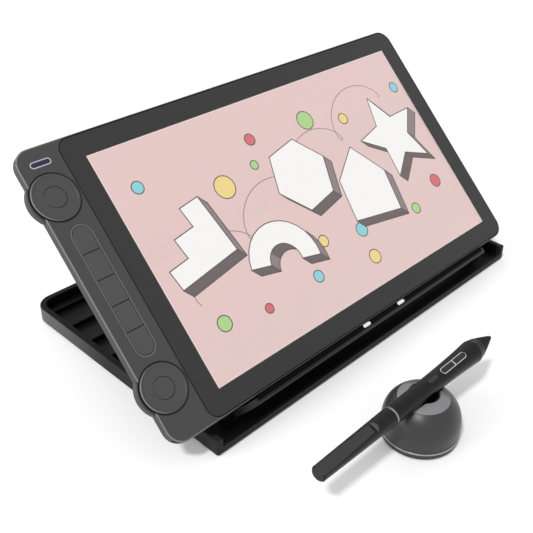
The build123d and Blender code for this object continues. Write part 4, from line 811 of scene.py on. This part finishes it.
def screw_head(mesh_maker, place):
    """A low round head with a socket, standing on a plane."""
    start = len(mesh_maker.verts)
    disc = bmesh.ops.create_circle(mesh_maker, cap_ends=True, segments=24,
                                   radius=SCREW_RADIUS * MM)
    top = [f for f in mesh_maker.faces if all(v in disc["verts"] for v in f.verts)]
    grown = raise_faces(mesh_maker, top, SCREW_HEIGHT)
    raised = [v for v in grown if isinstance(v, bmesh.types.BMVert)]
    bmesh.ops.scale(mesh_maker, verts=raised, vec=(TOP_SCALE, TOP_SCALE, 1.0))
    cap = [f for f in grown if isinstance(f, bmesh.types.BMFace)]
    bmesh.ops.inset_region(mesh_maker, faces=cap, thickness=SCREW_RADIUS * RING_SHARE * MM)
    bmesh.ops.translate(mesh_maker, verts=list({v for f in cap for v in f.verts}),
                        vec=(0, 0, -SCREW_HEIGHT * SOCKET_SHARE * MM))
    mesh_maker.verts.ensure_lookup_table()
    bmesh.ops.transform(mesh_maker, matrix=place, verts=mesh_maker.verts[start:])


back_screws = bmesh.new()
flip = Matrix.Rotation(math.pi, 4, "X")
for x in (-150.0, -10.0, 130.0):
    for y in (-66.0, 66.0):
        screw_head(back_screws, Matrix.Translation((x * MM, y * MM, BACK_PLANE * MM)) @ flip)
finish_piece("back_screws", back_screws, screw_steel)
print("screws in", screw_steel.name)

# %% [markdown]
# ## Floor
# The set stands on a plain white sheet of paper, wide enough that its edge is never seen.
# Fine fibres vary its white by a trace.

# %% Floor
FLOOR_HALF = 6.0
floor_mesh = bmesh.new()
bmesh.ops.create_grid(floor_mesh, x_segments=2, y_segments=2, size=FLOOR_HALF)
floor_data = bpy.data.meshes.new("floor")
floor_mesh.to_mesh(floor_data)
floor_mesh.free()
floor = bpy.data.objects.new("floor", floor_data)
bpy.context.scene.collection.objects.link(floor)
floor_paint, floor_tree, floor_shader = new_material(
    "floor_white_paper", {"Roughness": 0.9, "Specular IOR Level": 0.0})
fibre = add_node(floor_tree, "ShaderNodeTexNoise", {"Scale": 900.0},
                 {"Vector": add_node(floor_tree, "ShaderNodeTexCoord").outputs["Object"]})
paper = add_node(floor_tree, "ShaderNodeMix", {"A": linear("#fbfbfb"), "B": linear("#ffffff")},
                 {"Factor": fibre.outputs["Fac"]}, data_type="RGBA")
floor_tree.links.new(paper.outputs["Result"], floor_shader.inputs["Base Color"])
floor_data.materials.append(floor_paint)
print("floor:", 2 * FLOOR_HALF, "m wide")

# %% [markdown]
# ## Light
# A broad soft lamp from the left throws the soft shadow to the right, one soft box low on
# the left brightens the walls on that side, and the white surroundings fill the rest. The
# surroundings show pure white to the camera, in reflections and through the glass, and
# light the object a little less.

# %% Surroundings
FILL_LIGHT = 0.66
surroundings = bpy.data.worlds.new("white_surroundings")
bpy.context.scene.world = surroundings
surroundings.use_nodes = True
world_tree = surroundings.node_tree
backdrop = world_tree.nodes["Background"]
backdrop.inputs["Color"].default_value = (1.0, 1.0, 1.0, 1.0)
ray = add_node(world_tree, "ShaderNodeLightPath")
seen = add_node(world_tree, "ShaderNodeMath", {},
                {0: ray.outputs["Is Camera Ray"], 1: ray.outputs["Is Glossy Ray"]},
                operation="MAXIMUM")
seen_too = add_node(world_tree, "ShaderNodeMath", {},
                    {0: seen.outputs[0], 1: ray.outputs["Is Transmission Ray"]},
                    operation="MAXIMUM")
strength = add_node(world_tree, "ShaderNodeMapRange", {"To Min": FILL_LIGHT, "To Max": 1.0},
                    {"Value": seen_too.outputs[0]})
world_tree.links.new(strength.outputs["Result"], backdrop.inputs["Strength"])
print("fill light:", FILL_LIGHT)

# %% Lamps
LAMP_ENERGY = 1.6
LAMP_ANGLE = math.radians(7)
LAMP_FROM = Vector((-0.53, -0.17, 0.83))
SOFTBOX_ENERGY = 6.0
SOFTBOX_SIZE = 0.8
SOFTBOX_AWAY = 1.5
SOFTBOX_FROM = Vector((-0.9, 0.2, 0.34)).normalized()


def aim(light, direction, away=0.0):
    """Put a light some metres away in a direction, so that it shines at the middle."""
    holder = bpy.data.objects.new(light.name, light)
    holder.location = direction * away
    holder.rotation_euler = direction.to_track_quat("Z", "Y").to_euler()
    bpy.context.scene.collection.objects.link(holder)


lamp = bpy.data.lights.new("soft_lamp", "SUN")
lamp.energy = LAMP_ENERGY
lamp.angle = LAMP_ANGLE
aim(lamp, LAMP_FROM)
softbox = bpy.data.lights.new("left_softbox", "AREA")
softbox.shape = "DISK"
softbox.size = SOFTBOX_SIZE
softbox.energy = SOFTBOX_ENERGY
aim(softbox, SOFTBOX_FROM, SOFTBOX_AWAY)
print("lights:", len(bpy.data.lights))

# %% [markdown]
# ## Camera
# The camera looks down at the set from its front left corner. Its angles, lens and place
# were fitted to the picture's corners, the tablet's and the stand's.

# %% Camera
CAMERA_TURN = math.radians(-45.02)
CAMERA_RISE = math.radians(32.58)
CAMERA_PLACE = Vector((-0.3930, -0.3759, 0.3659))
CAMERA_LENS = 54.71
SENSOR_WIDTH = 36.0
back = Vector((math.sin(CAMERA_TURN) * math.cos(CAMERA_RISE),
               -math.cos(CAMERA_TURN) * math.cos(CAMERA_RISE), math.sin(CAMERA_RISE)))
side = Vector((math.cos(CAMERA_TURN), math.sin(CAMERA_TURN), 0))
axes = Matrix((side, back.cross(side), back)).transposed().to_4x4()
camera_data = bpy.data.cameras.new("camera")
camera_data.lens = CAMERA_LENS
camera_data.sensor_width = SENSOR_WIDTH
camera = bpy.data.objects.new("camera", camera_data)
camera.matrix_world = Matrix.Translation(CAMERA_PLACE) @ axes
bpy.context.scene.collection.objects.link(camera)
bpy.context.scene.camera = camera
bpy.context.scene.view_settings.view_transform = "Standard"
print("camera lens:", CAMERA_LENS, "mm")

# %% [markdown]
# ## End

# %% End


print("scene built")
